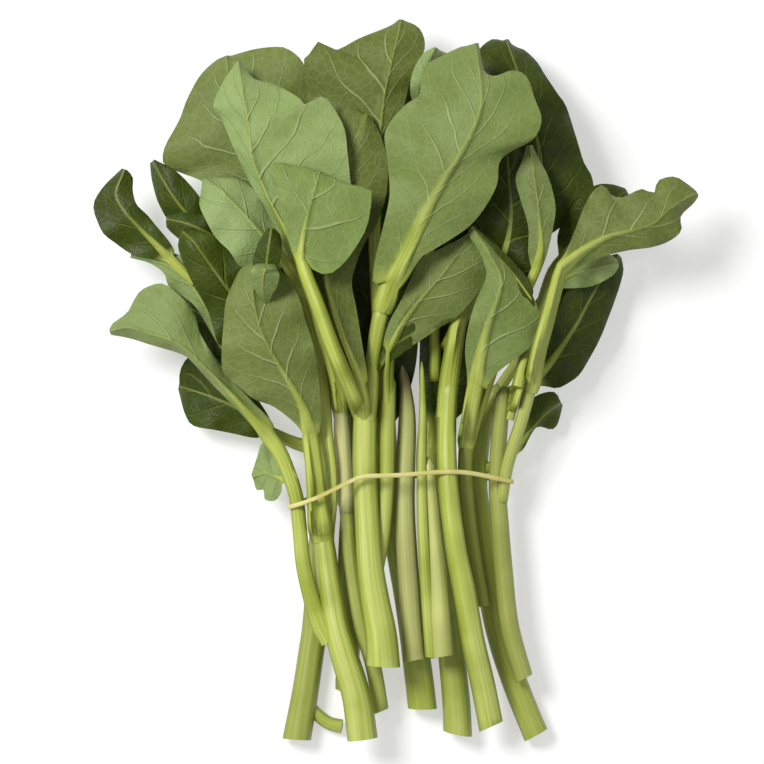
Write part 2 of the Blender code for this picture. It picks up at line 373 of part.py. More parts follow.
def leaf_layer(row, layers):
    name, node, parent, stalk, left, mid, right, heights, drops, waves, face = row
    carrier = layers[parent]
    at = stalk[0]
    i, j = np.unravel_index(np.argmin(np.hypot(carrier.xy[..., 0] - at[0], carrier.xy[..., 1] - at[1])),
                            carrier.xy.shape[:2])
    on_blade = not carrier.stiff
    base = float(((carrier.top + carrier.low) / 2 + carrier.lift)[i, j if on_blade else carrier.xy.shape[1] // 2])
    length = sum(math.dist(a[:2], b[:2]) for a, b in zip(stalk, stalk[1:]))
    n, m = max(3, round(length / PETIOLE_STEP)), BLADE_STEPS
    petiole = spline(stalk, n + 1)
    side = across(petiole)[:-1]
    petiole = petiole[:-1]
    half_p = petiole[:, 2:3] / 2
    end_w = stalk[-1][2]
    m_line = spline(mid, m)
    m_side = across(m_line)
    first_l = m_line[0] + m_side[0] * end_w / 2
    first_r = m_line[0] - m_side[0] * end_w / 2
    tip = m_line[-1]
    l_line = spline([tuple(first_l)] + left + [tuple(tip + m_side[-1] * 1.5)], m)
    r_line = spline([tuple(first_r)] + right + [tuple(tip - m_side[-1] * 1.5)], m)
    t = np.linspace(0, 1, m)[:, None]
    h0, h1, h2 = [h + base * on_blade for h in heights]
    z_mid = h0 * (1 - t) * (1 - 2 * t) + h1 * 4 * t * (1 - t) + h2 * t * (2 * t - 1)
    s = np.linspace(0, 1, n + 1)[:-1, None]
    z_stalk = base + (h0 - base) * smoothstep(s)
    if h0 < base:
        z_stalk = base + (h0 - base) * s
    # Columns from the left edge to the right: edge, rib, middle, rib, edge
    reach = np.array([1, 0.5, 0, 0.5, 1])
    sign = np.array([1, 1, 0, -1, -1])
    xy_p = petiole[:, None, :2] + side[:, None, :] * (half_p * np.array([1, 0.72, 0, -0.72, -1]))[..., None]
    rise = half_p * np.array([0.35, 0.72, 0.9, 0.72, 0.35])
    top_p, low_p = z_stalk + rise, z_stalk - rise
    rib = 0.8 + (end_w / 2 - 0.8) * (1 - t) ** RIB.get(name, RIB_USUAL)
    span_l = np.linalg.norm(l_line - m_line, axis=1)[:, None]
    span_r = np.linalg.norm(r_line - m_line, axis=1)[:, None]
    in_l = np.minimum(0.72 * rib / np.maximum(span_l, 0.1), 0.6)
    in_r = np.minimum(0.72 * rib / np.maximum(span_r, 0.1), 0.6)
    xy_b = np.stack([l_line, m_line + (l_line - m_line) * in_l, m_line, m_line + (r_line - m_line) * in_r, r_line],
                    axis=1)
    fade = smoothstep(t * 3)
    wave = waves[0] * np.sin(2 * math.pi * waves[1] * t + len(name)) * np.sin(math.pi * t)
    edge_l = drops[0] * smoothstep(t * 2) + wave
    edge_r = drops[1] * smoothstep(t * 2) - wave
    level = np.concatenate([edge_l, edge_l * in_l, t * 0, edge_r * in_r, edge_r], axis=1)
    thin = BLADE / 2
    edge_h = end_w / 2 * 0.35 * (1 - fade) + thin * fade
    crest = rib * 0.9
    back = crest * (1 - fade) + thin * fade
    flank, flank_b = crest * 0.8 * (1 - fade) + thin * fade, crest * 0.8 * (1 - fade) + thin * fade
    high = np.concatenate([edge_h, flank, np.maximum(crest, thin), flank, edge_h], axis=1)
    deep = np.concatenate([edge_h, flank_b, back, flank_b, edge_h], axis=1)
    if face == "t":
        high, deep = deep, high
    top_b, low_b = z_mid + level + high, z_mid + level - deep
    return Layer(name, node, parent, np.concatenate([xy_p, xy_b]), np.concatenate([top_p, top_b]),
                 np.concatenate([low_p, low_b]), False, 2)


def lay_bunch():
    """Every stem and blade at its height. The floor stems go first, then the blades under the bunch."""
    layers, order = {}, []
    low = [row[0] for row in STEMS[:LOW_STEMS]]
    carried = {row[0]: row[2] for row in LEAVES}
    root = {name: carried[up] if up in carried else up for name, up in carried.items()}
    sequence = [("stem", row) for row in STEMS[:LOW_STEMS]]
    sequence += [("leaf", row) for row in LEAVES if root[row[0]] in low]
    sequence += [("stem", row) for row in STEMS[LOW_STEMS:]]
    sequence += [("leaf", row) for row in LEAVES if root[row[0]] not in low]
    for kind, row in sequence:
        layer = stem_layer(*row) if kind == "stem" else leaf_layer(row, layers)
        layer.lay(order)
        layers[layer.name] = layer
        order.append(layer)
    return order


def strip_mesh(layer):
    """A closed solid from a strip: both faces split into triangles alike."""
    n, m = layer.xy.shape[:2]
    top = np.concatenate([layer.xy, (layer.top + layer.lift)[..., None]], axis=2)
    low = np.concatenate([layer.xy, (layer.low + layer.lift)[..., None]], axis=2)
    verts = np.concatenate([top.reshape(-1, 3), low.reshape(-1, 3)]) * MM
    under = n * m
    faces = []
    for i in range(n - 1):
        for j in range(m - 1):
            a, b, c, d = i * m + j, i * m + j + 1, (i + 1) * m + j + 1, (i + 1) * m + j
            faces += [(a, b, c), (a, c, d), (a + under, c + under, b + under), (a + under, d + under, c + under)]
        for j, turn in ((0, 1), (m - 1, -1)):
            a, d = i * m + j, (i + 1) * m + j
            quad = [(a, d, d + under), (a, d + under, a + under)]
            faces += [f if turn > 0 else f[::-1] for f in quad]
    for i, turn in ((0, 1), (n - 1, -1)):
        for j in range(m - 1):
            a, b = i * m + j, i * m + j + 1
            quad = [(a, a + under, b + under), (a, b + under, b)]
            faces += [f if turn > 0 else f[::-1] for f in quad]
    mesh = bpy.data.meshes.new(layer.name)
    mesh.from_pydata([tuple(v) for v in verts], [], faces)
    mesh.update()
    return mesh


def stem_mesh(layer):
    """A stem as a round curve, made into a mesh."""
    curve = bpy.data.curves.new(layer.name, "CURVE")
    curve.dimensions = "3D"
    curve.bevel_depth = MM
    curve.bevel_resolution = 2
    curve.use_fill_caps = True
    path = layer.path
    line = curve.splines.new("POLY")
    line.points.add(len(path) - 1)
    for point, (x, y, z, w), up in zip(line.points, path, layer.lift[:, 0]):
        point.co = (x * MM, y * MM, (z + up) * MM, 1)
        point.radius = w / 2
    holder = bpy.data.objects.new(layer.name, curve)
    bpy.context.scene.collection.objects.link(holder)
    seen = holder.evaluated_get(bpy.context.evaluated_depsgraph_get())
    mesh = bpy.data.meshes.new_from_object(seen)
    bm = bmesh.new()
    bm.from_mesh(mesh)
    bmesh.ops.remove_doubles(bm, verts=bm.verts, dist=0.00001)
    bm.to_mesh(mesh)
    bm.free()
    bpy.data.objects.remove(holder)
    bpy.data.curves.remove(curve)
    return mesh


def circles_at_band(order):
    """Centre and radius, in a section across the bunch, of everything that the band holds."""
    front = np.array(BAND_FRONT, float)
    out = []
    for layer in order:
        mid = layer.xy.shape[1] // 2
        line = layer.xy[:, mid]
        for i in range(len(line) - 1):
            here = np.interp(line[i, 0], front[:, 0], front[:, 1])
            there = np.interp(line[i + 1, 0], front[:, 0], front[:, 1])
            a, b = line[i, 1] - here, line[i + 1, 1] - there
            if a <= 0 < b:
                f = -a / (b - a)
                xy = layer.xy[i] * (1 - f) + layer.xy[i + 1] * f
                high = (layer.top + layer.lift)[i] * (1 - f) + (layer.top + layer.lift)[i + 1] * f
                low = (layer.low + layer.lift)[i] * (1 - f) + (layer.low + layer.lift)[i + 1] * f
                width = np.linalg.norm(xy[0] - xy[-1])
                centre_z = (high.max() + low.min()) / 2
                out.append((xy[mid, 0], centre_z, max(width, high.max() - low.min()) / 2))
    return out


def hull(points):
    """Convex hull of points in a plane, anticlockwise."""
    points = sorted(set(points))

    def half(seq):
        line = []
        for p in seq:
            while len(line) > 1 and ((line[-1][0] - line[-2][0]) * (p[1] - line[-2][1])
                                     - (line[-1][1] - line[-2][1]) * (p[0] - line[-2][0])) <= 0:
                line.pop()
            line.append(p)
        return line[:-1]
    return half(points) + half(points[::-1])


def band_mesh(order):
    """The rubber band: a flat ring round the stems, tight over the outer ones."""
    dots = []
    for x, z, r in circles_at_band(order):
        for k in range(20):
            a = 2 * math.pi * k / 20
            dots.append((x + (r + BAND_AIR) * math.cos(a), max(z + (r + BAND_AIR) * math.sin(a), BAND_THICK)))
    line = hull(dots)
    kept = [line[0]]
    for dot in line[1:]:
        if math.dist(dot, kept[-1]) > 1.0 and math.dist(dot, line[0]) > 1.0:
            kept.append(dot)
    loop = []
    for a, b in zip(kept, kept[1:] + kept[:1]):
        steps = max(1, round(math.dist(a, b) / 8))
        loop += [(a[0] + (b[0] - a[0]) * k / steps, a[1] + (b[1] - a[1]) * k / steps) for k in range(steps)]
    loop = np.array(loop)
    ahead, behind = np.roll(loop, -1, 0), np.roll(loop, 1, 0)
    run = ahead - behind
    out = np.stack([run[:, 1], -run[:, 0]], axis=1)
    out /= np.linalg.norm(out, axis=1)[:, None]
    flat = loop[:, 1] < BAND_THICK + 0.01
    out[flat] = (0, -1)
    front, back = np.array(BAND_FRONT, float), np.array(BAND_BACK, float)
    low, high = loop[:, 1].min(), loop[:, 1].max()
    verts, faces = [], []
    for (x, z), (nx, nz) in zip(loop, out):
        share = smoothstep((z - low) / (high - low))
        y = np.interp(x, front[:, 0], front[:, 1]) * share + np.interp(x, back[:, 0], back[:, 1]) * (1 - share)
        for px, pz in ((x, z), (x + nx * BAND_THICK, max(z + nz * BAND_THICK, 0))):
            for dy in (-BAND_WIDE / 2, BAND_WIDE / 2):
                verts.append((px * MM, (y + dy) * MM, pz * MM))
    n = len(loop)
    for i in range(n):
        a, b = 4 * i, 4 * ((i + 1) % n)
        for p, q in ((0, 1), (1, 3), (3, 2), (2, 0)):
            faces += [(a + p, a + q, b + q), (a + p, b + q, b + p)]
    mesh = bpy.data.meshes.new("rubber_band")
    mesh.from_pydata(verts, [], faces)
    mesh.update()
    return mesh


def outward(mesh):
    bm = bmesh.new()
    bm.from_mesh(mesh)
    bmesh.ops.recalc_face_normals(bm, faces=bm.faces)
    if bm.calc_volume(signed=True) < 0:
        bmesh.ops.reverse_faces(bm, faces=bm.faces)
    bm.to_mesh(mesh)
    bm.free()


def material(name, colour, rough):
    made = bpy.data.materials.new(name)
    made.use_nodes = True
    shader = made.node_tree.nodes["Principled BSDF"]
    shader.inputs["Base Color"].default_value = (*colour, 1)
    shader.inputs["Roughness"].default_value = rough
    made.diffuse_color = (*colour, 1)
    return made


def fuse(name, meshes, collection):
    """One solid from the stem and all that grows on it."""
    body = bpy.data.objects.new(name, meshes[0])
    collection.objects.link(body)
    if len(meshes) > 1:
        helpers = bpy.data.collections.new(name + "_blades")
        bpy.context.scene.collection.children.link(helpers)
        for mesh in meshes[1:]:
            helper = bpy.data.objects.new(mesh.name, mesh)
            helper.display_type = "WIRE"
            helper.hide_render = True
            helpers.objects.link(helper)
        join = body.modifiers.new("Join", "BOOLEAN")
        join.operation = "UNION"
        join.operand_type = "COLLECTION"
        join.collection = helpers
        join.solver = "MANIFOLD"
        seen = body.evaluated_get(bpy.context.evaluated_depsgraph_get())
        made = bpy.data.meshes.new_from_object(seen)
        body.modifiers.remove(join)
        body.data = made
        for helper in list(helpers.objects):
            bpy.data.objects.remove(helper)
        bpy.data.collections.remove(helpers)
    mesh = body.data
    bm = bmesh.new()
    bm.from_mesh(mesh)
    bmesh.ops.remove_doubles(bm, verts=bm.verts, dist=0.00002)
    bmesh.ops.dissolve_degenerate(bm, edges=bm.edges, dist=0.00002)
    bmesh.ops.triangulate(bm, faces=bm.faces)
    bm.to_mesh(mesh)
    bm.free()
    return body


def main():
    for old in list(bpy.data.objects):
        bpy.data.objects.remove(old)
    collection = bpy.data.collections.new("bok_choy_bunch")
    bpy.context.scene.collection.children.link(collection)
    order = lay_bunch()
    names = []
    for row in STEMS:
        if row[1] not in names:
            names.append(row[1])
    for name in names:
        meshes = []
        for layer in order:
            if layer.node == name:
                mesh = stem_mesh(layer) if layer.stiff else strip_mesh(layer)
                outward(mesh)
                meshes.append(mesh)
        body = fuse(name, meshes, collection)
        body.data.materials.clear()
        body.data.materials.append(material(name + "_green", (0.24, 0.36, 0.12), 0.55))
        for face in body.data.polygons:
            face.use_smooth = True
        body.data.set_sharp_from_angle(angle=math.radians(50))
    band = bpy.data.objects.new("rubber_band", band_mesh(order))
    collection.objects.link(band)
    outward(band.data)
    band.data.materials.append(material("band_rubber", (0.8, 0.68, 0.4), 0.6))
    return order


main()
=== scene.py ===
"""A tied bunch of leafy bok choy, as the photograph shows it from above.

The tables repeat the part's layout, in millimetres. Each stalk is drawn finely over its own solid.
"""

import json
import math

import bpy
import numpy as np
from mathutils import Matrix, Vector

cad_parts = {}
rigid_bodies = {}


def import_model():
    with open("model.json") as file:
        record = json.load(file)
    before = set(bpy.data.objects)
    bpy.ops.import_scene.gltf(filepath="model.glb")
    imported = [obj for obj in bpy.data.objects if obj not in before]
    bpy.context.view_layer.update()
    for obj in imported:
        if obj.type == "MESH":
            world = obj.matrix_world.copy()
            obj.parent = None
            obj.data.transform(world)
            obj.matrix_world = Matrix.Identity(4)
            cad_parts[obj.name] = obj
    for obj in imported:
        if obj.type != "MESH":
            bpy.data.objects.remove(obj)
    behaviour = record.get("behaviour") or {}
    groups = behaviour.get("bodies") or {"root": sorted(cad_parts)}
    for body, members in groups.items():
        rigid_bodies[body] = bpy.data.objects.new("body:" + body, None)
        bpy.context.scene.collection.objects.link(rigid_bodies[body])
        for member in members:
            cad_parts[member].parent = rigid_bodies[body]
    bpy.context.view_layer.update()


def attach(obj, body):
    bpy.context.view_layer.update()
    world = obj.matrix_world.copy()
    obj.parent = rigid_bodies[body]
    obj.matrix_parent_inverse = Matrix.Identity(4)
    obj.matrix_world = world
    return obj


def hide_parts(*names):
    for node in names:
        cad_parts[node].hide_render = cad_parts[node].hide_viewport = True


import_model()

# Driving dimensions, millimetres
MM = 0.001
BLADE = 0.9              # thickness of a blade
AIR = 0.8                # air left between one layer and the next
CELL = 1.5               # grid of the height map that the layers are laid on
BAND_WIDE = 2.2          # rubber band, along the stems
BAND_THICK = 1.2         # rubber band, outwards
STEM_STEPS = 9           # cross-sections along a stem
PETIOLE_STEP = 13        # millimetres from one cross-section of a leaf stalk to the next
BLADE_STEPS = 9          # cross-sections along a blade
LOW_STEMS = 6            # the first rows of STEMS lie on the floor

# Route of the band over the front of the bunch and under its back, as x and y
BAND_FRONT = [(-56, -15), (-45, -11.5), (-35, -7), (-25, -2), (-18, 0.7), (-10, 1.2), (0, 1.5), (10, 2.3),
              (20, 3), (30, 3), (40, 1.5), (56, -2.5)]
BAND_BACK = [(-56, -15), (-40, -9), (-20, -2), (0, 0), (20, 0.5), (40, -0.5), (56, -2.5)]

# Stems: name, node, stem that carries it, then x, y, height of the centre line and width, cut end first
STEMS = [
    ("s_outer_left", "stalk_outer_left", None,
     [(-50, -127, 7, 14), (-46, -105, 7, 13.5), (-43, -85, 7.2, 13), (-41, -70, 7.4, 12.5),
      (-39, -40, 7.8, 12), (-37, -6, 7.5, 11), (-40, 25, 8, 10), (-50, 50, 10, 9)]),
    ("s_low_shoot", "stalk_outer_left", "s_outer_left",
     [(-28, -121, 4, 7), (-35, -119, 4.5, 6.5), (-42, -113, 5.5, 6), (-46, -106, 6.5, 5)]),
    ("s_under_left", "stalk_under_left", None,
     [(-26, -104, 6, 11), (-25, -80, 6.5, 12), (-24, -40, 7.5, 12), (-23, -3, 7.5, 11.5),
      (-27, 30, 8.5, 10.5), (-36, 60, 11, 9)]),
    ("s_under_centre", "stalk_under_centre", None,
     [(11, -112, 7.5, 14.5), (9, -95, 7.5, 14), (4, -60, 8, 13), (-6, 0, 8.2, 13), (-8, 35, 9, 11),
      (-8, 65, 12, 9)]),
    ("s_under_right", "stalk_under_right", None,
     [(28, -124, 7, 14), (27, -105, 7, 13.5), (22, -60, 7.6, 12.5), (14, 0, 7.7, 12), (16, 35, 9, 10.5),
      (22, 68, 12, 9)]),
    ("s_outer_right", "stalk_outer_right", None,
     [(66, -125, 6.5, 13), (57, -103, 6.8, 12.5), (49, -80, 7, 12), (44, -58, 7.4, 11.5),
      (39, -20, 7.6, 11), (37, -1, 7.2, 11), (40, 25, 8, 10), (48, 45, 11, 8.5)]),
    ("s_right_pale", "stalk_right", None,
     [(60, -97, 15, 9), (53, -72, 16.5, 9.5), (50, -45, 17, 9.5), (48, -20, 17.5, 9), (47, -1, 18, 8.5),
      (48, 22, 20.5, 8), (50, 44, 24, 7)]),
    ("s_g_stalk", "stalk_right", "s_right_pale",
     [(49, -12, 20, 6), (51, 3, 23, 6.5), (54, 14, 26, 6.5), (58.5, 28, 29, 6.5), (63, 45, 32, 6.5)]),
    ("s_middle_left", "stalk_middle_left", None,
     [(-9, -113, 14, 8), (-13, -90, 19, 8), (-19, -70, 19.5, 7.5), (-23.5, -42, 19.5, 7),
      (-25.5, -18, 19.5, 7), (-26.5, -3, 19.5, 8), (-27, 15, 20, 8), (-28, 34, 21.5, 7)]),
    ("s_sheath", "stalk_middle_left", "s_middle_left",
     [(-25.5, -17, 21, 5), (-25.8, -13, 21.5, 8.5), (-26.5, -2, 21.5, 9), (-27.5, 15, 22, 8.5),
      (-28.5, 34, 23, 6.5), (-28.5, 50, 24, 3)]),
    ("s_thin_right", "stalk_thin_right", None,
     [(40, -62, 18, 7), (36, -40, 19, 7), (33, -20, 19.5, 7.5), (31.5, 0, 19.5, 7.5), (32, 18, 21, 7.5)]),
    ("s_centre_short", "stalk_centre_short", None,
     [(7, -88, 20, 12), (5, -60, 20, 11), (2.5, -20, 20, 10), (2.5, 2, 20, 10), (3.5, 25, 21, 9),
      (3, 40, 22, 6.5), (1, 54, 23, 3)]),
    ("s_left", "stalk_left", None,
     [(-18, -126, 15, 15), (-21, -105, 18, 14.5), (-27, -85, 20, 14), (-31, -70, 21, 12.5),
      (-34.5, -48, 21, 11.5), (-36.6, -32, 21, 10.5), (-37.5, -22, 21, 8)]),
    ("s_split", "stalk_split", None,
     [(20, -86, 24, 12), (19, -64, 25, 11), (18, -45, 25, 10), (16.5, -28, 25, 8), (15, -8, 25, 7),
      (13.5, 10, 25, 6)]),
    ("s_split_rib", "stalk_split", "s_split",
     [(15, -86, 24, 6), (13, -60, 24.5, 6), (11, -25, 25, 5.5), (10.5, 5, 25, 5), (11, 30, 26, 4),
      (10.5, 56, 27.5, 1.8)]),
    ("s_ridged", "stalk_ridged", None,
     [(-8, -90, 26, 17), (-9, -75, 27, 16), (-12, -58, 28, 14.5), (-14.5, -40, 28.5, 13),
      (-16.3, -10, 28, 12), (-17, 12, 29, 12), (-16.5, 36, 31, 12)]),
    ("s_ridged_side", "stalk_ridged", "s_ridged",
     [(-11, -48, 27, 5), (-8.5, -30, 27, 7), (-6.5, -5, 27.5, 7.5), (-6, 22, 29, 7.5), (-5, 50, 31, 6.5)]),
    ("s_d_stalk", "stalk_ridged", "s_ridged",
     [(-15, 28, 32, 7.5), (-14, 40, 34, 7.5), (-13, 55, 37, 7.5), (-11, 68, 40, 8), (-8.2, 83, 43, 8.5)]),
    ("s_front_right", "stalk_front_right", None,
     [(44, -120, 16, 12.5), (40, -100, 20, 12), (35, -78, 24, 11.5), (31, -55, 26, 11),
      (27, -35, 27.5, 10.5), (23.5, -8, 28, 10), (22.3, 14, 28.5, 9.5), (22.8, 34, 30, 9),
      (24, 48, 31, 8)]),
]

